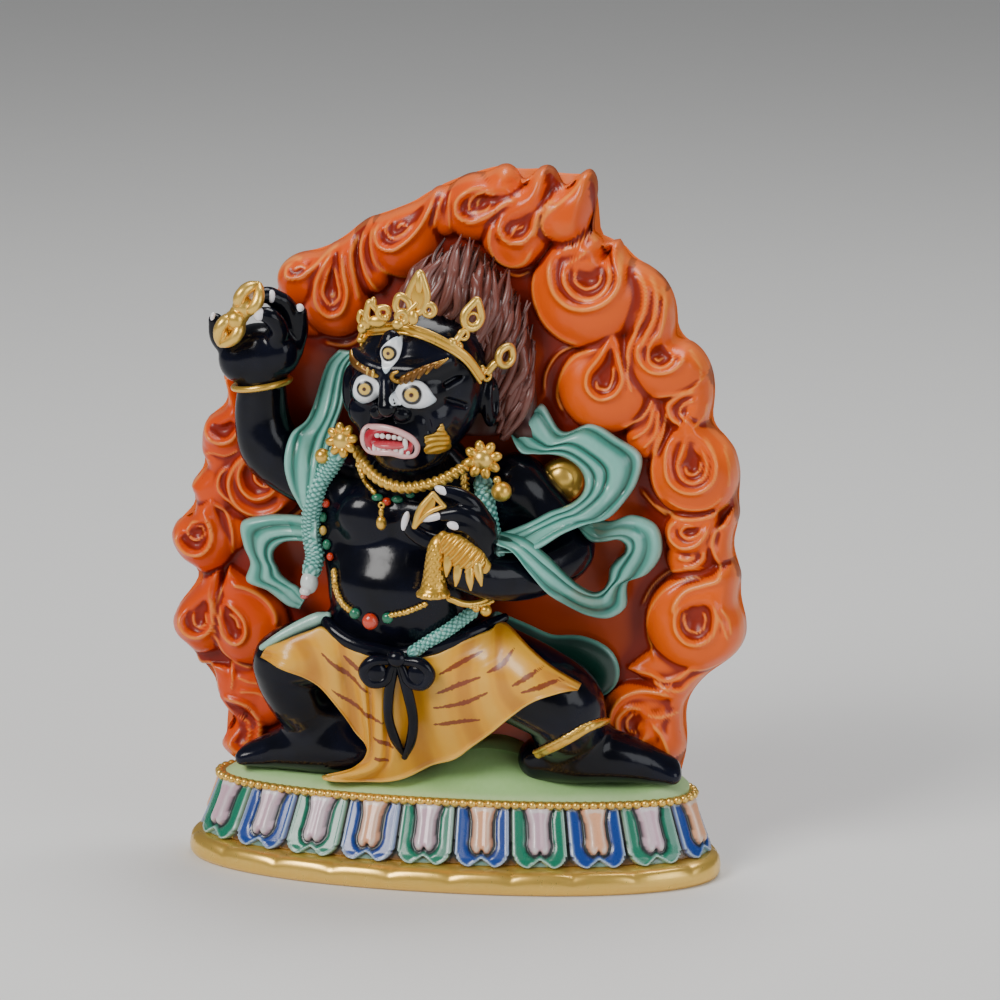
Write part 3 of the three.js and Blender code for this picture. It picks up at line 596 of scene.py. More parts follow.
# raised rims and strands: half width, height, depth of the dish inside, then x and z of each point
rims = [
    (1.05, 1.5, 1.6, -70.5, 45.5, -66, 45, -61.5, 43.5, -58.2, 39.5, -57.5, 34.5, -59.2, 30.8, -63, 29.3,
     -66.2, 31.2, -66.8, 35),
    (0.75, 1.1, 0.8, -64.6, 40, -61.6, 38.4, -60.6, 35, -61.8, 32.2, -64, 32),
    (1.05, 1.2, 0, -77.2, 57.5, -76, 54.9, -72.2, 54.8, -71, 50.5, -69.8, 46.5),
    (0.75, 0.9, 0, -66.2, 57, -65.4, 51.5, -65.8, 47.5),
    (0.75, 0.8, 0, -57, 54.8, -61.5, 55, -66, 57.4, -69, 62, -70.3, 69, -69.2, 75, -66.4, 82),
    (0.75, 0.6, 0, -55.5, 50, -60.5, 50.6, -64.5, 52),
    (0.75, 0.6, 0, -54.5, 46, -59, 47.5, -64, 47.5),
    (1.05, 1.3, 1, -65.5, 80.5, -60, 79, -55, 76, -52, 72, -51.5, 67.5),
    (1.05, 1.4, 1.8, -67.8, 75.5, -64, 73.5, -60.6, 69.5, -60.5, 65.3, -63.3, 62.7, -66.6, 64.4, -68.3,
     69.3, -67.8, 75.5),
    (1.05, 1, 0, -66, 71.6, -63.6, 70, -62.6, 67),
    (1.05, 1.5, 2.2, -80.6, 72.5, -80.2, 67.5, -77.6, 64.6, -74, 64.2, -71, 66.8, -70.4, 72, -71.5, 78.5),
    (0.75, 1.2, 0.8, -76.4, 71.5, -76.4, 68.4, -74.4, 66.8, -72.5, 68.6, -72.6, 72),
    (1.05, 1.6, 2.4, -80.8, 96.5, -80.6, 92.4, -77.6, 89.3, -73.6, 89, -70.8, 91.8, -70.4, 96.5, -72.8,
     101),
    (0.75, 1.2, 0.8, -72.8, 98.8, -76.4, 98, -77.6, 95, -75.4, 92.9, -72.8, 94.6, -73.4, 97, -75.6, 96.4),
    (0.75, 0.9, 0, -65.6, 87, -64.6, 94, -66.5, 101, -71, 104.5),
    (1.05, 1, 0, -78, 107, -75, 111, -72.6, 115.6, -70, 117),
    (0.75, 1.1, 0, -64.8, 115.2, -67.8, 112.6, -68.4, 108.4, -64, 103.6, -60, 100.8),
    (1.05, 1.5, 1.2, -58.2, 119.8, -63, 115.5, -65.2, 109.5, -63, 103.6, -57.6, 100.7, -52, 101.9, -47.4,
     105.8),
    (1.05, 1.4, 1.4, -59.2, 118.6, -62, 113.6, -61.4, 108.6, -57.6, 105.8, -53.4, 107, -50, 110.6),
    (0.75, 1.1, 0.8, -58, 114.6, -57.4, 111, -54.6, 109.4, -52.2, 111.4),
    (0.75, 1, 0, -56.3, 113.6, -54.9, 114.6, -53.8, 113),
    (1.05, 0.9, 0, -58, 97.6, -50, 98.6, -44, 102.6),
    (1.05, 1.5, 2.6, -73, 128.6, -71.9, 124.6, -68.4, 122.2, -64.6, 122.6, -61.9, 126, -61.9, 130.6),
    (0.75, 0.8, 0, -66.8, 142, -65.6, 137, -64.2, 132),
    (0.75, 0.7, 0, -74.3, 117, -70.5, 118.8, -66, 118.2, -61.5, 120.4),
    (1.05, 1.3, 1.4, -50.6, 168.6, -50.6, 172, -47.4, 175.2, -42.5, 175.8),
    (1.05, 1.4, 1.6, -44.5, 175, -47.8, 173.2, -47.2, 170.9, -43.4, 171, -39.4, 174.2, -35.6, 178.4, -31.4,
     181),
    (0.75, 0.9, 0, -45.6, 172.6, -43.4, 174, -41.2, 173.6),
    (1.05, 1.5, 1.8, -33.2, 181, -36, 175.6, -39, 168.6, -38.4, 163, -34.8, 160.2, -31.2, 161.6, -29.6,
     166.4, -30.6, 172.6, -31.4, 180.5),
    (0.75, 1.3, 1.2, -34.2, 176, -36, 171, -36.9, 166.4, -34.6, 163.4, -32.2, 165.6, -32.8, 170.6, -34.2,
     176),
    (0.75, 0.8, 0, -35, 167, -34.2, 165.4, -33.4, 167.2),
    (1.05, 0.9, 0, -38, 151.6, -31, 150.8, -26, 154),
    (1.05, 1.2, 0, -27.4, 184, -28.8, 178, -27.6, 170, -26, 164),
    (1.05, 1.2, 0, -25.6, 185.6, -26.4, 179, -24.6, 172.4, -20.8, 166),
    (1.05, 1.2, 0, -22.4, 187, -23.2, 181, -21.6, 175, -16.6, 171.6, -11, 171.4),
    (1.05, 1.6, 2.2, -20, 188.6, -21.8, 184.4, -20.6, 180.8, -16.8, 179.8, -12.4, 182.4, -8.4, 187, -6,
     192, -5.2, 196.4),
    (0.75, 1.2, 0.8, -17.8, 188, -18.8, 185, -17, 182.9, -13.8, 184.2, -10.6, 187.6),
    (0.75, 1, 0, -15.8, 185.4, -14.4, 186.8, -12.6, 186.4),
    (0.75, 0.9, 0, -2.6, 196, -4, 191, -5.4, 185.4),
    (0.75, 0.9, 0, -0.8, 197, -1, 191, -0.4, 185),
    (1.05, 1.6, 2.2, 11.5, 198, 5.6, 197.4, 1.6, 194, 1.8, 190.2, 5.4, 188.4, 10, 189.8, 15, 193.4, 20.4,
     196.8),
    (0.75, 1.3, 1, 14, 195.6, 9.4, 196.8, 6, 195, 5, 192, 7.2, 190.9, 10.4, 192, 11.4, 194.4),
    (0.75, 1, 0, 8.4, 195, 7.2, 193.4, 8.2, 192),
    (1.05, 1.7, 2, 14.6, 190.6, 14, 186, 16.6, 183, 20.6, 183.2, 23.4, 186, 24.6, 190.4, 27.2, 193.8, 31.6,
     196.4),
    (0.75, 1.1, 0.6, 17.2, 184.9, 18.6, 187, 20.8, 187),
    (1.05, 1.5, 0.8, 11.8, 188.6, 10.9, 182, 12.8, 177.4, 16.6, 175.4, 20.6, 176.8, 23.8, 182),
    (0.75, 0.9, 0, 14, 173.8, 18, 172.4, 22, 174),
    (1.05, 1.1, 0, 37.4, 202.4, 34.4, 197.6, 29.6, 193.4, 26.6, 190.4, 26, 186.8, 28.6, 183.2),
    (0.75, 0.7, 0, 23.6, 184, 25.4, 189, 28.6, 194.2),
    (1.05, 1, 0, 30.6, 180.6, 35, 182.2, 38.6, 184.6, 41.4, 182.4),
    (0.75, 0.9, 0, 32.6, 176.8, 36.4, 179.2, 39, 181.6),
    (1.5, 1.7, 1.8, 28.8, 181, 28, 175.4, 29.6, 169.6, 33.8, 165.9, 39, 165.2, 44.4, 167.3, 47.6, 171.2,
     48, 176.4, 46.2, 183.4),
    (1.05, 1.4, 1.4, 32.6, 177.5, 32.4, 172.4, 35.4, 168.6, 40, 167.8, 44, 170.4, 45.2, 174.4, 43.6, 179),
    (0.75, 1.2, 1.4, 35.4, 176.2, 35.4, 172.4, 38.6, 170.4, 42, 172, 42.6, 175.4),
    (1.05, 1, 0, 23.6, 176, 23, 169, 25.6, 161.4, 31, 156, 38, 153.6),
    (1.05, 1.3, 0, 51, 176.6, 54.6, 172, 55, 165.6, 52.6, 159, 50.4, 153.4, 50, 148),
    (1.05, 1.3, 0, 54.8, 175.4, 58, 170, 57.8, 163.4, 55.4, 157.6, 53.2, 153),
    (1.05, 1.2, 0, 58.4, 172, 60.6, 166, 60, 160, 58.8, 156),
    (1.05, 1.5, 1.4, 53.6, 157, 53.4, 151.4, 56.8, 147.8, 62, 147.8, 65.6, 150.6, 66.4, 154),
    (0.75, 1.4, 1.8, 59.6, 159, 56.4, 154.4, 56.6, 150.4, 59.8, 148.9, 62.8, 150.6, 63.6, 154),
    (0.75, 1, 0, 57.8, 151.6, 59, 150.6, 60.6, 151.8),
    (0.75, 0.9, 0, 66.8, 154.2, 70.4, 149, 70.6, 144.4),
    (0.75, 1, 0, 57, 139.8, 63, 140.8, 68.6, 142.8, 72.6, 147),
    (1.05, 1.6, 2.2, 45.6, 156.4, 42.2, 151, 38.9, 146, 39.2, 141.8, 42.6, 139.3, 46.8, 140.6, 49, 144.4,
     48, 149.8, 46.4, 155.6),
    (0.75, 1.1, 0.8, 41.4, 145, 41.8, 142.4, 44.6, 142, 46, 144.8, 46, 149),
    (1.05, 1.2, 0, 41.6, 153.4, 34.6, 150.2, 30.8, 144.6, 29.6, 138, 32, 132.4),
    (0.75, 1, 0, 37.4, 154, 30, 150.6, 26.2, 144.6, 25.8, 138.4),
    (0.75, 0.9, 0, 50.6, 153, 50.4, 145, 52, 140.6),
    (0.75, 1.1, 0, 57.4, 139.4, 54.4, 134, 48, 130),
    (0.75, 1.1, 0, 57.6, 137.4, 55.8, 130.8, 50.6, 126.8),
    (0.75, 1.1, 0, 58.8, 136, 58, 129, 54, 124.2),
    (0.75, 1.1, 0, 61, 136, 60, 129, 57.4, 121.6),
    (1.05, 1.3, 1.6, 70.4, 142.4, 64.6, 140.4, 61.6, 137.4, 62.6, 133.8, 66.6, 131.6),
    (0.75, 1, 0.8, 69.6, 139.6, 66, 138, 64.8, 135.6, 67.8, 132.8),
    (0.75, 1.1, 0, 72.4, 138.6, 71.6, 134.4, 68.8, 131.4),
    (1.05, 1.5, 1.4, 62.8, 130.4, 61.2, 123, 62.4, 116.6, 66.4, 113.7, 71.6, 113.9, 75.2, 117.2, 75.6,
     122.6, 73, 127.6, 69.4, 131),
    (0.75, 1.4, 1.6, 67.4, 129.6, 66, 125, 64.8, 120.6, 66.4, 117.2, 69.4, 116.2, 72.4, 118, 73, 122, 70.6,
     127),
    (0.75, 1.2, 0.4, 66.9, 121, 67.6, 118.9, 69.4, 118.5, 71, 120, 71, 122.4),
    (0.75, 1, 0, 59.6, 131, 57.4, 122, 58, 114.4, 61, 109),
    (0.75, 1, 0, 76.8, 127, 79, 120.4, 79, 113.6),
    (0.75, 0.9, 0, 60.8, 111, 66.6, 108.4, 73.4, 108.8, 78.6, 113),
    (1.05, 1.1, 0, 56, 108.6, 61.4, 105.8, 68, 105, 74.6, 106.4, 80.4, 111),
    (0.75, 0.9, 0, 53.6, 112, 57.6, 107.4, 61.6, 104.4),
    (1.05, 1.5, 1.4, 65.4, 105, 62.4, 102.6, 62.6, 99, 65.8, 96.8, 69.8, 97.6, 72.4, 100.4, 73.8, 104),
    (0.75, 1.2, 0.8, 70.4, 103.6, 66.8, 103, 65.6, 101, 67.6, 99.6, 70.6, 100.8, 72.2, 102.8),
    (1.05, 1.2, 0, 64.4, 93.8, 67.4, 93.2, 70, 94.4),
    (1.05, 1.4, 0, 65.6, 90.8, 69.4, 91.4, 71.8, 93.4, 72.4, 96.6),
    (1.05, 1.2, 0, 79.6, 104, 75.6, 101.6, 74.6, 97.4, 76.4, 92.6, 77.4, 89),
    (1.5, 1.8, 0, 76.6, 92, 76.8, 88.6, 72.6, 86.8, 67.6, 84.8, 64.6, 81, 64, 77),
    (1.05, 1.5, 2.4, 74.8, 83, 76.4, 78.6, 75.8, 73, 72.2, 69.8, 68.2, 69.9, 65.2, 73, 64.8, 78, 67.6,
     82.4),
    (0.75, 1, 0.8, 72.2, 79.6, 73.4, 76, 71.4, 72.8, 68.4, 73.4, 67.2, 76.8, 68.4, 79.4),
    (0.75, 1.1, 0, 75.4, 80.6, 78, 76, 79.8, 70.6),
    (0.75, 1, 0, 77.2, 80.8, 79.6, 77, 80.8, 71.6),
    (0.75, 1, 0, 74.6, 88.8, 66.6, 87.4, 60.4, 83.4, 56.6, 77, 56, 69.6, 58.6, 62.6),
    (0.75, 0.8, 0, 73, 91, 64, 89.6, 57.6, 84.6, 53.6, 77),
    (1.05, 1.2, 0, 51, 59.6, 56.6, 59, 61.4, 57.2, 65.4, 58.4, 69, 61, 73.6, 61, 79.4, 63.6),
    (1.05, 1.2, 0, 57, 57.4, 62, 55, 66.2, 54.4, 69, 57.2, 73, 59.8),
    (1.05, 1.4, 1.2, 66, 51.8, 60, 53.8, 53.6, 53.8, 48, 50.8, 45.8, 45.6, 46.6, 40.6, 50.6, 37.4, 55,
     37.4),
    (1.05, 1.4, 1.4, 56.4, 48.4, 51.6, 49, 48.3, 46, 48.4, 41.4, 51.8, 38.9, 55.6, 39.6, 57.2, 42.6),
    (0.75, 1.1, 0.6, 53.8, 47.4, 51, 45.6, 51, 42.2, 53.6, 41.6, 54.6, 44.4),
    (1.05, 1.2, 0, 55.8, 47.2, 60, 46.6, 66, 47.6),
    (1.05, 1.2, 0, 57.4, 45.4, 60.4, 41.6, 62.6, 36, 63.4, 30),
    (0.75, 0.8, 0, 43.4, 50, 43.8, 44, 45, 38)]


def teardrop(x, z, eyeX, eyeZ, radius, tipX, tipZ):
    # 0 at the eye, 1 on the outline of a circle drawn out to a tip; also the share of the way
    # from the eye to the tip
    away = np.hypot(x - eyeX, z - eyeZ)
    fromX, fromZ = x - tipX, z - tipZ
    reach = np.hypot(fromX, fromZ) + 1e-6
    side = np.abs(fromX * (eyeZ - tipZ) - fromZ * (eyeX - tipX)) / reach
    length = np.hypot(eyeX - tipX, eyeZ - tipZ)
    foot = np.sqrt(np.maximum(length**2 - side**2, 0))
    facing = fromX * (eyeX - tipX) + fromZ * (eyeZ - tipZ) > 0
    ring = np.where(facing & (reach < foot), side, away) / radius
    return ring, np.clip(1 - reach / length, 0, 1) * facing


def nearPath(x, z, path):
    # distance to the nearest point of a path, and how far along the path that point lies
    best, share = np.full(x.shape, 1e9), np.zeros(x.shape)
    for k, ((ax, az), (bx, bz)) in enumerate(zip(path[:-1], path[1:])):
        dx, dz = bx - ax, bz - az
        t = np.clip(((x - ax) * dx + (z - az) * dz) / (dx * dx + dz * dz + 1e-9), 0, 1)
        away = (x - ax - t * dx) ** 2 + (z - az - t * dz) ** 2
        closer = away < best
        best, share = np.where(closer, away, best), np.where(closer, k + t, share)
    return np.sqrt(best), share / (len(path) - 1)


def insidePath(x, z, path):
    # even-odd rule: a point is inside where a line from it crosses the path an odd number of times
    inside = np.zeros(x.shape, bool)
    for (ax, az), (bx, bz) in zip(path, np.roll(path, -1, axis=0)):
        if az != bz:
            inside ^= ((az > z) != (bz > z)) & (x < (bx - ax) * (z - az) / (bz - az) + ax)
    return inside


def blur(values, cells):
    # three box means in each direction
    for axis in (0, 1):
        count = values.shape[axis]
        for _ in range(3):
            reach = np.clip(np.arange(-cells, count + cells), 0, count - 1)
            total = np.cumsum(np.take(values, reach, axis), axis)
            total = np.concatenate([0 * np.take(total, [0], axis), total], axis)
            width = 2 * cells + 1
            values = (np.take(total, np.arange(width, count + width), axis)
                      - np.take(total, np.arange(count), axis)) / width
    return values


flame = {"pitch": 0.35, "middle": 9.0, "front": 5.0, "back": 13.0, "roll": 4.2,
         "columns": 800, "inner": 14, "outer": 82, "backColumns": 340, "centre": (0, 100)}


def flameRelief():
    # height in front of the sheet on an even grid: the highest bulge, less the dishes inside the
    # rims, plus the rims; light says how close a point lies to the top of a rim
    xs = np.arange(-90, 90, flame["pitch"])
    zs = np.arange(17, 210, flame["pitch"])
    x, z = np.meshgrid(xs, zs)
    height, light, ridges = np.zeros(x.shape), np.zeros(x.shape), np.zeros(x.shape)
    soft = 0.5
    for eyeX, eyeZ, radius, tipX, tipZ, proud in bulges:
        ring, along = teardrop(x, z, eyeX, eyeZ, radius, tipX, tipZ)
        dome = proud * np.sqrt(np.clip(1 - ring**2.4, 0, 1)) * (1 - 0.3 * along)
        join = np.maximum(soft - np.abs(height - dome), 0) / soft
        height = np.maximum(height, dome) + join * join * soft / 4 * (ring < 1)
    for halfWidth, rise, dish, *points in rims:
        points = np.reshape(points, (-1, 2))
        path = spline(points, 5 * len(points))
        low, high = path.min(0) - 5, path.max(0) + 5
        window = (slice(*np.searchsorted(zs, [low[1], high[1]])),
                  slice(*np.searchsorted(xs, [low[0], high[0]])))
        wx, wz = x[window], z[window]
        away, share = nearPath(wx, wz, path)
        fade = smoothStep(0, 0.12, share) * smoothStep(0, 0.12, 1 - share) * 0.75 + 0.25
        ridge = np.exp(-(away / (0.76 * halfWidth)) ** 2) * fade
        ridges[window] = np.maximum(ridges[window], 0.92 * rise * ridge)
        light[window] = np.maximum(light[window], ridge**1.6)
        if dish:
            chord, _ = nearPath(wx, wz, path[[-1, 0]])
            shut = np.hypot(*(path[-1] - path[0])) < 1
            open_ = 1 if shut else smoothStep(0, 4, chord)
            height[window] -= dish * smoothStep(0.3, 3.2, away) * open_ * insidePath(wx, wz, path)
    return xs, zs, height + ridges, light


def readGrid(values, xs, zs, x, z):
    # straight-line reading between the four nearest grid values
    column = np.clip((x - xs[0]) / flame["pitch"], 0, len(xs) - 1.001)
    row = np.clip((z - zs[0]) / flame["pitch"], 0, len(zs) - 1.001)
    i, j = row.astype(int), column.astype(int)
    u, v = column - j, row - i
    return ((values[i, j] * (1 - u) + values[i, j + 1] * u) * (1 - v)
            + (values[i + 1, j] * (1 - u) + values[i + 1, j + 1] * u) * v)


def wallRings(columns, shares):
    # points from the wall's middle out to its outline, and their distance to the outline
    outline = spline(wallOutline, 900, closed=True)
    cx, cz = flame["centre"]
    angle = np.arange(columns) * whole / columns - np.pi
    fine = spline(wallOutline, 9000, closed=True)
    far = np.hypot(fine[:, 1] - cz, fine[:, 0] - cx)
    column = np.round((np.arctan2(fine[:, 1] - cz, fine[:, 0] - cx) + np.pi) / whole * columns)
    radius = np.zeros(columns)
    np.maximum.at(radius, column.astype(int) % columns, far)
    radius = sum(np.roll(radius, k) for k in (-2, -1, 0, 1, 2)) / 5
    least = np.min([np.roll(radius, k) for k in range(-24, 25)], 0)
    least = np.mean([np.roll(least, k) for k in range(-24, 25)], 0)
    grow = smoothStep(0.82, 1, shares)[:, None]
    reach = shares[:, None] * least + (radius - least) * grow
    x, z = cx + reach * np.cos(angle), cz + reach * np.sin(angle)
    edge, _ = nearPath(x, z, np.vstack([outline[::2], outline[:1]]))
    edge[-1] = 0
    return x, z, edge


def flamePieces():
    xs, zs, height, light = flameRelief()
    # painted shade: darker in creases and where the wall stands low, as on the plain wall behind the figure
    crease = (blur(height, 3) - height) * 1.5 + (blur(height, 9) - height) * 0.4
    crease = np.clip(np.maximum(crease, 0) + 0.34 * smoothStep(1.4, 0.1, blur(height, 5)), 0, 1)
    shares = np.concatenate([np.linspace(0, 0.52, flame["inner"])[1:],
                             np.linspace(0.52, 1, flame["outer"])[1:]])
    x, z, edge = wallRings(flame["columns"], shares)
    roll = np.sqrt(1 - (1 - np.clip(edge / flame["roll"], 0, 1)) ** 2)
    rise = flame["middle"] - flame["front"] + readGrid(height, xs, zs, x, z)
    y = flame["middle"] - rise * roll
    front = np.stack([x, y, z], -1)
    shut = front[-1:] * [0.9, 0, 0.9] + [0, flame["middle"] + 0.5, 10]
    shape = outward(*capped(np.concatenate([front, shut])))
    flat = [readGrid(values, xs, zs, x, z) for values in (light, crease)]
    facts = [np.concatenate([f.ravel(), f[-1], [f[0].mean(), 0]]) for f in flat]
    putMesh("flameWall", shape, flamePaint, "flame_orange", 8, 0.6, rim=facts[0], crease=facts[1])

    # back of the wall: plainer tongues of fire in low relief
    shares = np.linspace(0, 1, 56)[1:]
    x, z, edge = wallRings(flame["backColumns"], shares)
    cx, cz = flame["centre"]
    turn = np.arctan2(x - cx, z - cz)
    far = np.hypot(x - cx, z - cz)
    bend = turn * 9 + 0.9 * np.sin(far * 0.09 + 1.3) + 0.5 * np.sin(turn * 4 + far * 0.05)
    ridge = np.cos(bend * 2)
    lobes = 0.75 * ridge + 0.35 * np.cos(bend * 5 + far * 0.12)
    away = smoothStep(12, 60, far) * smoothStep(0.5, 6, edge)
    roll = np.sqrt(1 - (1 - np.clip(edge / 5.5, 0, 1)) ** 2)
    y = flame["middle"] + (flame["back"] - flame["middle"] + lobes * away) * roll
    back = np.stack([x, y, z], -1)
    shut = back[-1:] * [0.9, 0, 0.9] + [0, flame["middle"] - 0.5, 10]
    shape = outward(*capped(np.concatenate([back, shut])))
    # painted highlight on the ridges of the tongues, painted shade in the hollows between them
    flat = [np.clip(ridge - 0.55, 0, 1) * 1.2 * away, np.clip(-lobes - 0.55, 0, 1) * away]
    facts = [np.concatenate([f.ravel(), f[-1], [f[0].mean(), 0]]) for f in flat]
    putMesh("flameBack", shape, flamePaint, "flame_orange", 8, 0.6, rim=facts[0], crease=facts[1])


# Modelled flesh: a block of sampled distances that shapes are pressed into, then its skin
class Clay:
    def __init__(self, low, high, cell):
        self.cell, self.low = cell, np.asarray(low, float)
        self.axes = [np.arange(a, b, cell) for a, b in zip(low, high)]
        self.field = np.full([len(axis) for axis in self.axes], 6.0, np.float32)

    def press(self, distance, low, high, blend, cut=False):
        # joins a shape, or cuts it out, with a soft seam: distance is a function of x, y, z
        margin = blend + 3 * self.cell
        window = tuple(slice(max(np.searchsorted(axis, a - margin), 0),
                             np.searchsorted(axis, b + margin))
                       for axis, a, b in zip(self.axes, low, high))
        grids = np.meshgrid(*[axis[w] for axis, w in zip(self.axes, window)], indexing="ij")
        shape = distance(*grids)
        field = self.field[window]
        if cut:
            join = np.maximum(blend - np.abs(field + shape), 0) / blend
            self.field[window] = np.maximum(field, -shape) + join * join * blend / 4
        else:
            join = np.maximum(blend - np.abs(field - shape), 0) / blend
            self.field[window] = np.minimum(field, shape) - join * join * blend / 4

    def ball(self, centre, radii, blend=2.0, cut=False, turn=0.0, tip=0.0):
        # an ellipsoid, turned about Z and tipped about X, in degrees
        a, b = np.radians(turn), np.radians(tip)
        ca, sa, cb, sb = np.cos(a), np.sin(a), np.cos(b), np.sin(b)

        def distance(x, y, z):
            x, y, z = x - centre[0], y - centre[1], z - centre[2]
            x, y = x * ca + y * sa, y * ca - x * sa
            y, z = y * cb + z * sb, z * cb - y * sb
            near = np.sqrt((x / radii[0]) ** 2 + (y / radii[1]) ** 2 + (z / radii[2]) ** 2)
            steep = np.sqrt((x / radii[0]**2) ** 2 + (y / radii[1]**2) ** 2 + (z / radii[2]**2) ** 2)
            return near * (near - 1) / (steep + 1e-6)
        reach = np.full(3, max(radii))
        self.press(distance, np.asarray(centre) - reach, np.asarray(centre) + reach, blend, cut)

    def limb(self, stations, blend=2.0, cut=False, steps=5):
        # a round bar along a smooth curve; stations are x, y, z, radius
        path = spline(stations, steps * len(stations))

        def distance(x, y, z):
            best = np.full(x.shape, 99.0)
            for a, b in zip(path[:-1], path[1:]):
                run = b[:3] - a[:3]
                t = ((x - a[0]) * run[0] + (y - a[1]) * run[1] + (z - a[2]) * run[2]) / (run @ run)
                t = np.clip(t, 0, 1)
                away = np.sqrt((x - a[0] - t * run[0]) ** 2 + (y - a[1] - t * run[1]) ** 2
                               + (z - a[2] - t * run[2]) ** 2)
                best = np.minimum(best, away - a[3] - t * (b[3] - a[3]))
            return best
        reach = path[:, 3:].max()
        self.press(distance, path[:, :3].min(0) - reach, path[:, :3].max(0) + reach, blend, cut)

    def stack(self, sections, blend=2.0):
        # ovals stacked upwards; sections are z, centre x, centre y, half width, half depth
        rows = np.asarray(sections, float)
        fine = spline(rows[:, [1, 2, 0, 3, 4]], 8 * len(rows))

        def distance(x, y, z):
            cx, cy, hw, hd = (np.interp(z, fine[:, 2], fine[:, k]) for k in (0, 1, 3, 4))
            near = np.sqrt(((x - cx) / hw) ** 2 + ((y - cy) / hd) ** 2)
            side = (near - 1) * np.minimum(hw, hd)
            end = np.maximum(rows[0, 0] - z, z - rows[-1, 0])
            both = np.maximum(side, end)
            return np.where((side > 0) & (end > 0), np.hypot(side, end), both)
        low = [(rows[:, 1] - rows[:, 3]).min(), (rows[:, 2] - rows[:, 4]).min(), rows[0, 0]]
        high = [(rows[:, 1] + rows[:, 3]).max(), (rows[:, 2] + rows[:, 4]).max(), rows[-1, 0]]
        self.press(distance, low, high, blend)

    def skin(self, rounds=2):
        # one point in every cell that the surface crosses, at the mean of the crossings on the
        # cell's edges, and one quad round every edge it crosses; then the points are evened out
        # and moved onto the surface
        field = self.field
        for axis in range(3):
            for end in (0, -1):
                border = [slice(None)] * 3
                border[axis] = end
                field[tuple(border)] = np.maximum(field[tuple(border)], 0.1)
        inside = field < 0
        n = np.array(field.shape)
        corners = [(a, b, c) for a in (0, 1) for b in (0, 1) for c in (0, 1)]

        def shifted(values, offset):
            return values[tuple(slice(o, o + m - 1) for o, m in zip(offset, n))]
        count = sum(shifted(inside, corner).astype(np.int8) for corner in corners)
        cells = np.argwhere((count > 0) & (count < 8))
        where = np.full(n - 1, -1, np.int32)
        where[tuple(cells.T)] = np.arange(len(cells))
        at = {corner: field[tuple((cells + corner).T)] for corner in corners}
        total, hits = np.zeros((len(cells), 3)), np.zeros(len(cells))
        for axis in range(3):
            for low in corners:
                if low[axis]:
                    continue
                high = tuple(1 if k == axis else low[k] for k in range(3))
                a, b = at[low], at[high]
                crossed = (a < 0) != (b < 0)
                t = np.where(crossed, a / np.where(crossed, a - b, 1), 0)
                place = np.tile(np.asarray(low, float), (len(cells), 1))
                place[:, axis] = t
                total += place * crossed[:, None]
                hits += crossed
        points = (cells + total / hits[:, None]) * self.cell + self.low
        quads = []
        for axis in range(3):
            first, second = [k for k in ((1, 2), (2, 0), (0, 1))[axis]]
            core = [slice(1, -1)] * 3
            core[axis] = slice(0, -1)
            ahead = [slice(1, -1)] * 3
            ahead[axis] = slice(1, None)
            crossed = inside[tuple(core)] != inside[tuple(ahead)]
            edge = np.argwhere(crossed) + [int(k != axis) for k in range(3)]
            step = np.eye(3, dtype=int)
            ring = [where[tuple((edge - a * step[first] - b * step[second]).T)]
                    for a, b in ((1, 1), (0, 1), (0, 0), (1, 0))]
            ring = np.stack(ring, 1)
            outside = inside[tuple(edge.T)]
            quads.append(np.where(outside[:, None], ring, ring[:, ::-1]))
        faces = np.vstack(quads)
        edges = edgesOf(faces)
        for _ in range(rounds):
            points = relax(points, edges, 1)
            points = self.onto(self.onto(points))
        return points, faces

    def read(self, points):
        # the distance at each point, and beside it the slope that onto needs
        return self.slopes(points)[0]

    def slopes(self, points):
        spot = (points - self.low) / self.cell
        base = np.clip(spot.astype(int), 0, np.array(self.field.shape) - 2)
        u, v, w = np.clip(spot - base, 0, 1).T
        f = {(a, b, c): self.field[tuple((base + (a, b, c)).T)]
             for a in (0, 1) for b in (0, 1) for c in (0, 1)}

        def lerp(p, q, t):
            return p + (q - p) * t
        near = [[lerp(f[a, b, 0], f[a, b, 1], w) for b in (0, 1)] for a in (0, 1)]
        ends = [lerp(near[a][0], near[a][1], v) for a in (0, 1)]
        value = lerp(ends[0], ends[1], u)
        gx = ends[1] - ends[0]
        gy = lerp(near[0][1] - near[0][0], near[1][1] - near[1][0], u)
        gz = lerp(lerp(f[0, 0, 1] - f[0, 0, 0], f[0, 1, 1] - f[0, 1, 0], v),
                  lerp(f[1, 0, 1] - f[1, 0, 0], f[1, 1, 1] - f[1, 1, 0], v), u)
        return value, np.stack([gx, gy, gz], 1)

    def onto(self, points):
        # one step towards the surface, along the steepest way
        value, slope = self.slopes(points)
        size = (slope**2).sum(1, keepdims=True) + 1e-6
        move = np.clip(-value[:, None] * slope / size, -0.5, 0.5)
        return points + move * self.cell


cameraPlace = np.array([211, -1147.7, 388])


def seat(points, clay, lift=0.6, deepest=-9.0, soft=False):
    # slides points along the line of sight until they stand off the front of the clay by lift
    points = np.asarray(points, float)
    toward = unit(cameraPlace - points[:, :3])
    far = np.full(len(points), -99.0)
    for step in np.arange(deepest, 34, 0.4):
        inside = clay.read(points[:, :3] + toward * step) < lift
        far[inside] = step + 0.4
    far = np.where(far < -50, 0, far)
    if soft:
        wide = np.pad(far, 3, mode="edge")
        far = np.mean([wide[k:k + len(far)] for k in range(7)], 0)
    return np.hstack([points[:, :3] + toward * far[:, None], points[:, 3:]])


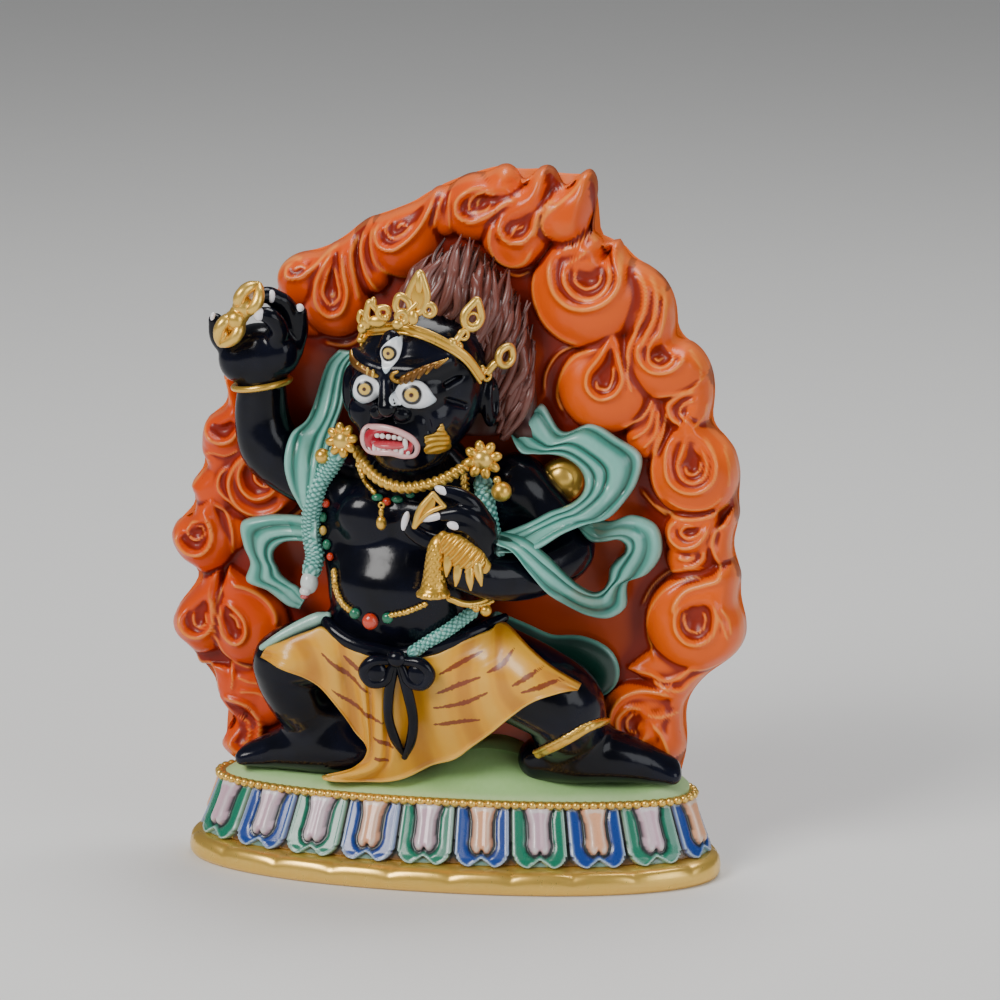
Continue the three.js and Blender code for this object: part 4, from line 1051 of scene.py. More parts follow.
def drape(grid, clay, lift=1.2, spread=4):
    # the same for a sheet, which only moves forwards and bridges the gaps softly
    flat = grid.reshape(-1, 3)
    toward = unit(cameraPlace - flat)
    far = np.zeros(len(flat))
    for step in np.arange(0, 40, 0.6):
        far[clay.read(flat + toward * step) < lift] = step + 0.6
    far = far.reshape(grid.shape[:2])
    for axis in (0, 1):
        reach = max(int(spread * grid.shape[axis] / 60), 1)
        pad = [(reach, reach) if k == axis else (0, 0) for k in (0, 1)]
        wide = np.pad(far, pad, mode="edge")
        count = grid.shape[axis]
        shifts = [np.take(wide, np.arange(k, k + count), axis) for k in range(2 * reach + 1)]
        wide = np.pad(np.max(shifts, 0), pad, mode="edge")
        far = np.mean([np.take(wide, np.arange(k, k + count), axis) for k in range(2 * reach + 1)], 0)
    return grid + toward.reshape(grid.shape) * far[..., None]


def figureBody():
    clay = Clay((-72, -40, 25.5), (72, 16, 166), 0.88)
    clay.stack([[66, -9, -6, 23, 14], [74, -10.5, -7.5, 21.5, 15.5], [80, -12.5, -8.5, 21, 16.5],
                [89, -13.5, -9.5, 20, 16.5], [98, -12.5, -8, 20.5, 13.5], [106, -11, -7, 24, 13],
                [113, -9, -6, 26, 11.5], [119, -8, -6, 18, 10.5], [127, -8, -8, 11, 9]], 3)
    clay.ball((-12.5, -11.5, 84.5), (18.5, 14, 14.5), 5)
    clay.ball((-21.5, -16, 106.5), (8.5, 5.4, 7), 3.5)
    clay.ball((-4.5, -16.5, 107), (9.5, 5.6, 7), 3.5)
    clay.limb([[-29.5, -6, 109, 6.5], [-31, -9, 99, 5.6], [-28.6, -10, 91, 5]], 4)
    clay.ball((18, -4, 103), (11, 7, 9), 4)
    # raised arm
    clay.ball((-33, -5, 112.5), (9.5, 9, 9), 4)
    clay.limb([[-33, -4, 112, 9], [-44, -5, 116, 8.3], [-51, -7, 122.5, 8.6], [-53.4, -7, 131, 7.9],
               [-53.2, -8, 141, 6.8], [-53.4, -8.5, 147, 6.2]], 3)
    clay.ball((-47.5, -6, 121), (7, 7, 6), 4)
    # lowered arm, bent to the chest
    clay.ball((19, -4.5, 113), (9, 8.5, 9), 4)
    clay.limb([[19, -3, 114, 8.8], [28, -5, 105.6, 8.0], [34.8, -8, 97.4, 7.6], [27, -18, 93, 7.6],
               [17, -26.5, 93, 6.9], [9, -31, 95.5, 5.8]], 3)
    # legs
    clay.limb([[-22, -9, 66, 12], [-40, -11.5, 64, 10], [-46.5, -11.5, 61, 9.2], [-44.5, -8, 52, 9.3],
               [-41, -4, 43, 8.2], [-39.5, -1.5, 34, 6.6]], 4)
    clay.ball((-47.5, -14.5, 62.5), (6, 5, 6), 4)
    clay.ball((-34, -2, 41), (12, 6.5, 14), 5)
    clay.limb([[-24, -3, 32, 6.4], [-35, -4, 34.5, 8], [-46, -3.6, 33.4, 6.8], [-54, -2.4, 31.4, 4.9],
               [-58, -1.6, 30.2, 3.8]], 3)
    clay.limb([[12, -9, 62, 13], [26, -12, 57, 12.5], [33, -12, 53, 12.2], [35, -8, 46, 11],
               [37.5, -3, 40, 9], [38, -0.5, 35, 7.6]], 4)
    clay.limb([[26, -3, 33.4, 6.4], [36, -4, 35.6, 8.6], [46, -3.6, 35.4, 7.8], [55, -2.4, 33.4, 6],
               [62, -0.6, 31.2, 4.4]], 3)
    for toe in range(5):  # toes, the big toe nearest the viewer
        share = toe / 4
        clay.limb([[-52 - 3 * (1 - share), -4.6 + 2.4 * toe, 31, 3.0 - 0.8 * share],
                   [-61 + 3.4 * share, -5.2 + 2.5 * toe, 29.8, 2.3 - 0.6 * share]], 2.4)
        clay.limb([[57 + 2 * (1 - share), -3.6 + 2.2 * toe, 31.8, 3.0 - 0.8 * share],
                   [64.6 - 3.6 * share, -4.4 + 2.3 * toe, 30.4, 2.3 - 0.6 * share]], 2.4)
    # the two lines carved under the breasts
    for lift in (0, -2.6):
        clay.limb([[-22.5, -24.4, 99.5 + lift, 0.55], [-17, -24.8, 103.2 + lift, 0.6],
                   [-12.5, -24.2, 104.6 + lift, 0.6], [-7, -24.2, 103.4 + lift, 0.6],
                   [-1.5, -22.6, 99.4 + lift, 0.5]], 0.8, cut=True)
    return clay


bodyModel = figureBody()


def figurePieces():
    putMesh("body", bodyModel.skin(), bodyEnamel, "skin_navy", 14, 0.6)


# Head: skull, brows, eyes, nose and open mouth; the face looks a little to the viewer's left
face = {"origin": (-9, -32, 140), "aside": (0.968, -0.25, 0), "inward": (0.25, 0.968, 0)}


def headClay():
    clay = Clay((-33, -41, 117), (19, 6, 167), 0.47)
    clay.stack([[121, -8.5, -17, 7, 6], [126, -9, -16.5, 12, 10.5], [132, -8.2, -15, 16, 13.5],
                [140, -7.4, -13.5, 18.6, 16], [148, -7, -13, 19, 16.8], [156, -6.5, -12, 17.3, 16.2],
                [162, -6, -11, 12.5, 12.5], [165, -6, -11, 7, 7]], 2)
    clay.ball((-9, -22, 125.2), (8.5, 6.5, 4.8), 3)                      # chin
    clay.ball((-11.2, -25.6, 131.6), (10.2, 7, 6.4), 3)                  # muzzle
    clay.ball((-1.6, -24.8, 137.2), (6, 5, 5), 3)                        # cheeks
    clay.ball((-20.4, -23.8, 138.4), (4.6, 4.6, 4.6), 3)
    clay.limb([[-10.5, -29, 151, 2.2], [-4, -29, 151.2, 2.7], [3.5, -25.4, 153.6, 2]], 2.2)   # brows
    clay.limb([[-14.6, -28.6, 151, 2.2], [-19.5, -26, 152, 2.5], [-23.3, -21.6, 154, 1.8]], 2.2)
    clay.ball((-4.8, -27.2, 144.6), (7.4, 4.6, 5.4), 1.5)                # eyes
    clay.ball((-18.5, -26.6, 145.8), (5.4, 4.4, 5.2), 1.5)
    clay.ball((-12.1, -26.2, 156.2), (3.6, 3, 5.8), 1.5)
    clay.limb([[-13, -28.6, 150.5, 1.6], [-13, -30.4, 147, 1.7], [-12.5, -31.8, 143.6, 2.3],
               [-12.1, -32.8, 141.4, 2.8]], 1.6)                         # nose
    clay.ball((-15.3, -30.6, 139.6), (2.4, 2.5, 2.1), 1.2)
    clay.ball((-8.4, -30.8, 139.2), (2.6, 2.5, 2.1), 1.2)
    clay.ball((-13.8, -33.4, 138.2), (1.1, 1.3, 0.9), 0.6, cut=True)
    clay.ball((-10.0, -33.5, 138.0), (1.1, 1.3, 0.9), 0.6, cut=True)
    for path in ([[-4.4, -31.4, 139.8, 0.6], [-1.8, -30, 138, 0.7], [-0.9, -29.4, 134.6, 0.6]],
                 [[-16.8, -30, 139.6, 0.5], [-18.4, -29, 137.8, 0.6], [-19, -28.4, 135, 0.5]],
                 [[3, -26.4, 147.2, 0.5], [5.2, -24.6, 148.4, 0.5], [7.2, -22, 149, 0.4]],
                 [[3.6, -26, 142.6, 0.5], [6, -24, 141.4, 0.5], [7.6, -22, 140.4, 0.4]],
                 [[-8, -28.4, 158.4, 0.5], [-2, -27.4, 159.2, 0.6], [4, -23.4, 158, 0.5]]):
        clay.limb(path, 1.6, cut=True)
    clay.ball((-11.7, -33.2, 131.4), (6.9, 4.4, 3.0), 0.8, cut=True, tip=-4)     # mouth
    clay.ball((13, -11.5, 139.6), (2.6, 4, 7.4), 1.5)                    # ears
    clay.ball((14.6, -12.6, 139.8), (1.5, 2.2, 4.6), 0.8, cut=True)
    clay.ball((-26.6, -13.5, 142), (2.2, 3.6, 6.8), 1.5)
    return clay


def onFace(clay, a, b, stand=0.0):
    # the point of the face at a mm aside and b mm up from its origin, standing off by a little
    a, b = np.asarray(a, float), np.asarray(b, float)
    inward = np.array(face["inward"])
    place = (np.array(face["origin"]) + a[..., None] * face["aside"] + b[..., None] * [0, 0, 1.0])
    flat = place.reshape(-1, 3) - inward * 12
    for _ in range(60):
        flat = flat + inward * np.clip(clay.read(flat), -0.6, 0.6)[:, None] * 0.9
    return (flat - inward * stand).reshape(place.shape)


def facePatch(clay, outline, lift, rows=22, columns=72, sink=0.5):
    # a thin shell on the face: its front stands off by lift in the middle and nothing at the
    # edge, its back lies inside the head; also gives each point's place on the face
    edge = spline(outline, columns, closed=True)
    middle = edge.mean(0)
    share = np.concatenate([np.linspace(0, 1, rows)[1:], np.linspace(1, 0, 6)[1:-1]])
    flat = middle + (edge - middle) * share[:, None, None]
    isFront = (np.arange(len(share)) < rows - 1)[:, None]
    stand = np.where(isFront, lift * np.sqrt(1 - share[:, None] ** 3) + 0.1, -sink)
    points = onFace(clay, flat[..., 0], flat[..., 1])
    points = points - np.array(face["inward"]) * stand[..., None]
    flat = np.vstack([flat.reshape(-1, 2), middle, middle])
    return outward(*capped(points)), flat


eyes = {  # outline on the face in mm, iris place and size, lift
    "eyeRight": ([(-1.8, 4.4), (-0.8, 7.4), (1.6, 8.8), (4.9, 8.9), (7.1, 7.4), (8.6, 5.2), (9.3, 3.3),
                  (7.4, 1.6), (4.6, 0.8), (1.6, 1.2), (-0.7, 2.5)], (3.6, 5.0), 2.65, 0.7),
    "eyeLeft": ([(-13.2, 7.0), (-12.2, 9.0), (-9.9, 9.8), (-7.4, 8.8), (-5.6, 6.6), (-6.3, 4.0),
                 (-8.6, 2.1), (-11.8, 1.4), (-13.6, 3.0)], (-9.6, 6.0), 2.2, 0.6),
    "eyeThird": ([(-1.9, 20.4), (-0.9, 17.6), (-1.2, 14.6), (-2.4, 12.4), (-3.9, 10.4), (-5.6, 13.0),
                  (-6.8, 15.8), (-5.2, 18.4)], (-3.9, 15.9), 2.1, 0.45)}


def eyePieces(clay):
    for name, (outline, iris, size, lift) in eyes.items():
        shape, flat = facePatch(clay, outline, lift)
        away = np.hypot(flat[:, 0] - iris[0], flat[:, 1] - iris[1]) / size
        edge = spline(outline, 72, closed=True)
        rim, _ = nearPath(flat[:, 0], flat[:, 1], np.vstack([edge, edge[:1]]))
        away, rim = away[:, None], rim[:, None]
        corner = smoothStep(1.2, 2.6, away) * smoothStep(1.6, 0.2, rim) * 0.75
        tone = toward(plain(shape, [0.82, 0.84, 0.86]), [0.36, 0.52, 0.62], corner)
        tone = np.where(away < 0.72, [0.72, 0.48, 0.10], tone)
        ring = smoothStep(1.12, 1.0, away) * smoothStep(0.66, 0.76, away)
        tone = toward(tone, [0.012, 0.010, 0.010], ring)
        tone = toward(tone, [0.06, 0.015, 0.01], smoothStep(0.30, 0.2, away))
        putMesh(name, shape, trimPaint, "trim_paint", 4, 0.4, paint=tone)


def mouthPieces(clay):
    loop = [(-10.4, -5.9), (-7, -4.9), (-3.4, -4.9), (0.1, -5.8), (3.0, -7.6), (4.0, -9.8),
            (2.8, -12.4), (0.4, -12.6), (-2.3, -11.7), (-6.3, -11.8), (-9.9, -11.8), (-10.9, -8.8)]
    edge = spline(loop, 96, closed=True)
    middle = edge.mean(0)
    inner = middle + (edge - middle) * 0.86
    lining, _ = facePatch(clay, middle + (edge - middle) * 0.93, 0.05)
    putMesh("mouthLining", lining, trimPaint, "trim_paint", 4, 0.4, paint=plain(lining, [0.42, 0.012, 0.03]))
    # lips: a soft bar round the mouth, fuller below
    front = onFace(clay, 1.06 * (inner[:, 0] - middle[0]) + middle[0],
                   1.06 * (inner[:, 1] - middle[1]) + middle[1])
    outer = onFace(clay, middle[0] + (edge[:, 0] - middle[0]) * 1.12,
                   middle[1] + (edge[:, 1] - middle[1]) * 1.12)
    front[:, ::2] = outer[:, ::2] * 0.5 + front[:, ::2] * 0.5
    front[:, 1] = outer[:, 1] - 0.35
    ahead = unit(np.roll(front, -1, axis=0) - np.roll(front, 1, axis=0))
    out = np.array([-0.25, -0.968, 0])
    across = unit(np.cross(ahead, out))
    angle = np.arange(14) * whole / 14
    ring = (front[:, None] + across[:, None] * 0.95 * np.cos(angle)[:, None]
            + out * 0.9 * np.sin(angle)[:, None])
    points = ring.reshape(-1, 3)
    shape = outward(points, gridFaces(97, 14) % len(points))
    # painted light and shade: paler on the side that faces out, darker on the side turned in
    facing = np.tile(np.sin(angle), 96)
    tone = np.array([0.62, 0.30, 0.30]) + np.outer(facing, [0.14, 0.16, 0.15])
    putMesh("lips", shape, trimPaint, "trim_paint", 4, 0.5, paint=np.clip(tone, 0.02, 0.9))
    # teeth: a lower row, a shorter upper row and two fangs
    teeth = []
    for k in range(8):
        a = -8.9 + 1.5 * k
        b = -10.5 - 0.10 * k
        place = onFace(clay, [a], [b - 1.6], 0.2)[0] + [0, -0.2, 0]
        teeth.append(ball((place[0], place[1], 140 + b), (0.82, 0.8, 1.25), 12, 8))
    for k in range(6):
        a, b = -8.0 + 1.6 * k, -6.9 - 0.12 * k
        place = onFace(clay, [a], [b + 1.5], 0.1)[0]
        teeth.append(ball((place[0], place[1] + 0.4, 140 + b), (0.8, 0.7, 0.8), 10, 6))
    for a, b in ((1.1, -9.2), (-9.6, -9.0)):
        place = onFace(clay, [a], [-12.6], 0.2)[0]
        teeth.append(ball((place[0], place[1] - 0.3, 140 + b), (0.8, 0.8, 2.0), 12, 8))
    shape = merge(teeth)
    putMesh("teeth", shape, trimPaint, "trim_paint", 3, 0.4, paint=plain(shape, [0.80, 0.76, 0.72]))
    tongue = ball((-11.8, -29.6, 130.2), (5.2, 3.4, 1.3), 24, 14)
    putMesh("tongue", tongue, trimPaint, "trim_paint", 3, 0.4, paint=plain(tongue, [0.55, 0.05, 0.07]))


def goldOnFace(clay):
    shapes = []
    # right brow: a hooked end and slanted flames laid side by side
    path = spline([(-2.0, 9.4), (0.2, 9.2), (3.0, 10.4), (6.0, 11.8), (8.6, 13.0), (11.2, 14.4)], 60)
    hook = onFace(clay, *np.array([(-0.6, 11.2), (-1.9, 10.6), (-2.3, 9.2), (-1.0, 8.3), (0.8, 8.9),
                                   (2.0, 10.0)]).T, 0.2)
    shapes.append(sweep(np.hstack([hook, [[0.45], [0.6], [0.7], [0.75], [0.8], [0.7]]]), 40, 12))
    for k in range(6):
        a, b = path[12 + 8 * k]
        long, fat = (1.7, 2.2, 2.4, 2.2, 1.8, 1.2)[k], (0.9, 1.05, 1.05, 1.0, 0.85, 0.6)[k]
        ends = onFace(clay, a + long * np.array([-0.45, 0, 0.75]), b + long * np.array([-0.85, 0, 0.6]), 0.35)
        rows = np.hstack([ends, [[fat * 0.6], [fat], [fat * 0.4]]])
        shapes.append(sweep(rows, 16, 10))
    tip = onFace(clay, [9.2, 11.4], [12.8, 14.6], 0.3)
    shapes.append(sweep(np.hstack([tip, [[0.8], [0.25]]]), 10, 10))
    # left brow
    path = onFace(clay, *np.array([(-6.6, 9.6), (-8.6, 10.2), (-11, 11.2), (-13.6, 12)]).T, 0.2)
    path = np.vstack([path, [[-23.6, -24.4, 153.2], [-24.2, -22.6, 154.8]]])
    shapes.append(sweep(np.hstack([path, [[0.5], [0.95], [1.1], [1.1], [0.9], [0.4]]]), 40, 12))
    for k in range(4):
        spot = onFace(clay, [-7.6 - 1.7 * k], [10.3 + 0.5 * k], 0.5)[0]
        shapes.append(ball(spot, (0.55, 0.8, 1.3), 10, 6))
    # curl of the beard on the cheek: three bands in a leaf
    shape, flat = facePatch(clay, [(6.0, -7.2), (8.4, -6.2), (10.4, -3.4), (10.4, -7.0), (10.1, -10.2),
                                   (8.8, -12.8), (6.4, -13.2), (5.2, -12.2), (5.9, -9.6)], 1.1, 30, 60)
    band = np.cos((flat[:, 1] + 0.12 * (flat[:, 0] - 8) ** 2 + 8.4) * whole / 1.75)
    push = 0.32 * np.clip(band, -1, 1) * (np.arange(len(flat)) < 30 * 60)
    points = shape[0] + np.outer(push, [-0.25, -0.968, 0])
    shapes.append((points, shape[1]))
    putMesh("brows", merge(shapes), goldPaint, "paint_gold", 6, 0.25)


headModel = headClay()


def headPieces():
    clay = headModel
    putMesh("head", clay.skin(), bodyEnamel, "skin_navy", 14, 0.5)
    eyePieces(clay)
    mouthPieces(clay)
    goldOnFace(clay)


# Hands: palm and bent fingers in finer clay, with pale nails
hands = {
    "handRaised": {
        "block": ((-71, -26, 139), (-35, 3, 174)),
        "balls": [((-53.2, -9, 150.5), (10.6, 8.2, 8.6)), ((-59.2, -11.2, 149), (5.4, 6.2, 6.4)),
                  ((-46.5, -9.5, 152), (4.6, 6, 6))],
        "limbs": [[[-53.2, -8, 140.5, 6.6], [-53.2, -8.5, 147, 7.6]],
                  [[-48.5, -8, 155, 3.1], [-47, -9.5, 163.5, 2.8], [-49.5, -13.5, 168, 2.5],
                   [-52.4, -16, 168, 2.0]],
                  [[-45.6, -8, 154, 3], [-43.9, -9.5, 161, 2.7], [-45.8, -12, 166, 2.4],
                   [-48, -13.4, 167.4, 2.0]],
                  [[-49, -12, 153, 3.1], [-46.4, -15, 158.5, 2.8], [-48.4, -17.5, 162.8, 2.5],
                   [-50.6, -18, 163.5, 2.0]],
                  [[-44, -8, 152, 3], [-42, -9, 157.6, 2.6], [-41.5, -9.6, 162.6, 2.0]],
                  [[-60, -11, 151, 3.4], [-64, -13, 155.5, 2.8], [-64.9, -13.8, 160.4, 2.1]]],
        "nails": [((-53.2, -17.2, 168.3), (1.5, 1.4, 1.9), 20), ((-48.5, -15.0, 168.0), (1.2, 1.2, 1.9), 0),
                  ((-51.2, -19.3, 163.7), (1.6, 1.3, 2.0), 0), ((-41.5, -10.4, 163.9), (1.3, 1.3, 1.4), 0),
                  ((-65.4, -14.6, 161.2), (0.9, 1.2, 1.7), 0)]},
    "handChest": {
        "block": ((-13, -42, 94), (24, -18, 126)),
        "balls": [((10.5, -29.5, 104.5), (7.8, 6.2, 8.4)), ((6, -29, 101.5), (5.5, 4.5, 5.5))],
        "limbs": [[[14, -24, 96.5, 6.6], [12, -27.5, 99.5, 6.2]],
                  [[15, -30, 108.4, 2.9], [11.6, -33, 115, 2.5], [8, -34, 117.6, 2.2],
                   [4.6, -34.4, 118.6, 1.8]],
                  [[15.4, -31, 105.4, 2.9], [12.4, -34.6, 110.8, 2.5], [9, -35.4, 112.8, 2.2],
                   [4, -35.6, 112.2, 1.8]],
                  [[14.8, -31, 102.2, 2.8], [13.2, -34.4, 106.8, 2.4], [10.4, -35.4, 109.3, 2.2],
                   [7.6, -35.6, 109.4, 1.8]],
                  [[5, -29.5, 102, 3], [-2.4, -31.4, 104.4, 2.6], [-6, -32.2, 107.4, 2.2],
                   [-6.9, -32.8, 110.2, 1.7]]],
        "nails": [((3.9, -35.2, 118.9), (2.6, 1.1, 1.2), 24), ((1.6, -36.4, 111.7), (4.0, 1.0, 1.1), -16),
                  ((7.2, -36.8, 109.6), (2.0, 1.0, 1.2), 12), ((-7.0, -33.8, 109.6), (1.1, 1.0, 2.9), 14)]}}


def turned(points, centre, degrees):
    # turned in the picture plane, about an axis along Y through the centre
    c, s = np.cos(np.radians(degrees)), np.sin(np.radians(degrees))
    flat = points - centre
    return np.stack([flat[:, 0] * c + flat[:, 2] * s, flat[:, 1],
                     flat[:, 2] * c - flat[:, 0] * s], 1) + centre


def handPieces():
    nails = []
    for name, hand in hands.items():
        clay = Clay(*hand["block"], 0.48)
        for centre, radii in hand["balls"]:
            clay.ball(centre, radii, 3)
        for stations in hand["limbs"]:
            clay.limb(stations, 1.0)
        putMesh(name, clay.skin(), bodyEnamel, "skin_navy", 14, 0.5)
        for centre, radii, lean in hand["nails"]:
            points, faces = ball(centre, radii, 18, 12)
            nails.append((turned(points, np.array(centre), lean), faces))
    shape = merge(nails)
    putMesh("nails", shape, trimPaint, "trim_paint", 4, 0.4, paint=plain(shape, [0.83, 0.80, 0.84]))


# Scarves: each is a sheet between two edges, folded along its length
scarves = {  # outer edge, inner edge, folds, depth of the folds
    "scarfUpperLeft": (
        [(-33, 2, 150), (-36.2, 2, 146.5), (-41.5, -2, 130.6), (-45.3, -6, 127), (-46.8, -9, 120.1),
         (-45.6, -10, 113.6), (-42.3, -11, 107.7), (-39.4, -11, 103.5)],
        [(-26, 0, 150), (-29.0, 0, 146), (-30.2, -4, 135.8), (-31.4, -8, 131.1), (-32.6, -12, 124.7),
         (-34.4, -13, 116.1), (-36.8, -13, 109.2), (-38.3, -13, 104.1)], 3.4, 1.3),
    "scarfLowerLeft": (
        [(-38, -6, 102.6), (-46.4, -4.2, 102.8), (-54.1, -2.4, 101.9), (-61.2, -1.7, 99.3),
         (-60.8, -1.2, 92.8), (-58.9, -1, 87.4), (-60.2, -1, 82), (-54.1, -1.2, 79.4),
         (-47.7, -2.1, 75.2), (-44.0, -3, 74.6)],
        [(-37.6, -7, 95.2), (-44, -6, 95.6), (-48.4, -4.6, 94.4), (-51, -4, 91.8), (-51.2, -3.6, 89.2),
         (-50.1, -3.4, 86.8), (-49, -3.4, 84.6), (-46.6, -3.4, 82.6), (-44.1, -3.8, 81.3),
         (-42, -4, 78.2)], 2.4, 1.2),
    "scarfUpperRight": (
        [(16.4, 1, 131), (21.6, 0.6, 132.6), (25.6, 0.5, 136.8), (31.7, 0.9, 128.9), (40, 0.4, 131.6),
         (47.5, 0, 127.9), (54.2, 0, 123.1), (53.4, -0.3, 115.9), (49.5, -0.8, 109.3), (45.1, -2.1, 104.8),
         (39.6, -3.7, 103.4), (33.5, -6.7, 101.2), (25.2, -10, 96.5), (16, -13.4, 96.4)],
        [(16, 0.4, 129.4), (20, -1.2, 122.6), (24.1, -1.6, 122.6), (28.7, -1.6, 122.6),
         (33.1, -1.8, 121.6), (36.7, -2, 119), (38.4, -2.4, 115.4), (37.8, -2.8, 112.2),
         (35.8, -3.4, 110), (33, -5, 108.6), (29.1, -7, 107.4), (25, -9.6, 105.4), (20.4, -12.2, 103.6),
         (14.5, -14.4, 101.8)], 3.6, 1.5),
    "scarfLowerRight": (
        [(15.4, -14.2, 99), (19.3, -12.4, 96.8), (24.2, -10.4, 90), (29.1, -8.7, 83.9), (33.9, -6.5, 80.3),
         (40.5, -4.5, 76.8), (46.2, -2.9, 76.1), (50.3, -1.5, 79), (51, -0.5, 86.4), (56.5, 0, 88.9),
         (60.3, 0, 95.2), (58.8, -0.4, 103), (52.1, -0.9, 105.9), (46, -1.9, 104.2), (40.5, -2, 104.6),
         (36, -2, 104.4)],
        [(16.4, -15, 103), (22.4, -13.4, 101.4), (29, -11.6, 96.2), (33.9, -9.6, 90.6),
         (37.6, -7.6, 86.6), (41.4, -6, 84.2), (44, -4.8, 84.8), (45.4, -3.8, 87.2), (45.8, -3, 90.6),
         (47.6, -2.6, 93.2), (49.8, -2.6, 95.5), (50, -2.8, 97.6), (48, -3.2, 99), (44.5, -3.6, 98.4),
         (40.4, -3.8, 98.4), (36.2, -3, 102.8)], 2.8, 1.3)}


def sheetBetween(outer, inner, rows, columns, folds, depth, thick=1.5):
    # rows run along the edges, columns from one edge to the other; the folds are ridges along
    # the rows, of uneven width, deeper in the middle, and the edges are rounded over
    a, b = spline(outer, rows), spline(inner, rows)
    share = np.linspace(0, 1, columns)
    along = np.linspace(0, 1, rows)[:, None]
    middle = drape(a[:, None] + (b - a)[:, None] * share[:, None], bodyModel)
    uneven = share + 0.07 * np.sin(whole * share + 1.1) + 0.05 * np.sin(along * 5 + share * 2) * (1 - share)
    turn = np.abs(np.sin(np.pi * folds * uneven + 0.35))
    ridge = turn**0.75
    strength = 0.45 + 0.55 * np.sin(np.pi * np.clip(along * 1.15, 0, 1)) ** 0.5
    bulge = np.sin(np.pi * share)
    over = np.sqrt(1 - (2 * share - 1) ** 6)
    width = np.linalg.norm(b - a, axis=1)[:, None]
    room = np.clip(width / 9, 0.25, 1)
    front = middle.copy()
    front[..., 1] -= thick * over + bulge * room + depth * room * strength * (ridge - 0.25) * over
    back = middle.copy()
    back[..., 1] += 0.6 * thick * over
    rear = back[:, -2:0:-1]
    ring = np.concatenate([front, rear], 1)
    # painted shade: dark in the fold valleys, towards both edges and over the whole back of the sheet
    dark = np.concatenate([(1 - turn) * strength, 0.6 + 0 * rear[..., 0]], 1)
    edge = np.concatenate([np.abs(2 * share - 1) ** 16 + 0 * along, 1 + 0 * rear[..., 0]], 1)
    facts = [np.concatenate([f.ravel(), [f[0].mean(), f[-1].mean()]]) for f in (dark, edge)]
    return outward(*capped(ring)), facts


def scarfPieces():
    for name, (outer, inner, folds, depth) in scarves.items():
        shape, (dark, edge) = sheetBetween(outer, inner, 140, 46, folds, depth)
        base = np.array([0.055, 0.27, 0.215])
        pale, deep = np.array([0.26, 0.58, 0.50]), np.array([0.005, 0.055, 0.035])
        dark, edge = dark[:, None], edge[:, None]
        # painted highlight on the fold ridges, painted shade in the valleys and towards the edges
        tone = toward(base, pale, smoothStep(0.55, 0.05, dark) * 0.8)
        tone = toward(tone, deep, smoothStep(0.6, 1.0, dark) * 0.8)
        tone = toward(tone, deep, smoothStep(0.2, 1.0, edge) * 0.85)
        # painted shade over the far end of the lower right scarf, where it runs behind the arm
        if name == "scarfLowerRight":
            far = smoothStep(0.80, 0.90, np.arange(len(tone)) / len(tone))[:, None]
            tone = toward(tone, deep, far * 0.85)
        putMesh(name, shape, scarfPaint, "scarf_teal", 10, 0.6, paint=tone)
    # gold disc in the upper right loop, and the dark curl of the sash end
    disc = [ball((31.6, 1.2, 114.8), (6.4, 3.0, 6.6), 40, 20),
            ball((31.4, 0.4, 114.8), (4.7, 2.9, 4.9), 32, 16)]
    putMesh("scarfDisc", merge(disc), goldPaint, "paint_gold", 8, 0.3)
    curl = [[12, -1, 72.6, 3.6, 1.8], [20, 0, 69, 3.8, 1.8], [28, 1, 65.6, 3.8, 1.8], [37, 2, 64.4, 4.6, 1.8],
            [42.4, 2.6, 61.2, 4.8, 1.8], [43.4, 3, 57, 4.4, 1.8], [41.4, 3, 53.6, 3, 1.8],
            [37.6, 3, 53.6, 1.4, 1.4]]
    shape = outward(*sweep(curl, 160, 40))
    across = np.append(np.tile(np.cos(np.arange(40) * whole / 40), 168), [0, 0])
    edge = smoothStep(0.72, 0.95, -across)[:, None]
    tone = np.array([0.004, 0.036, 0.024]) + edge * np.array([0.10, 0.28, 0.23])
    putMesh("sashCurl", shape, scarfPaint, "scarf_teal", 10, 0.5, paint=tone)


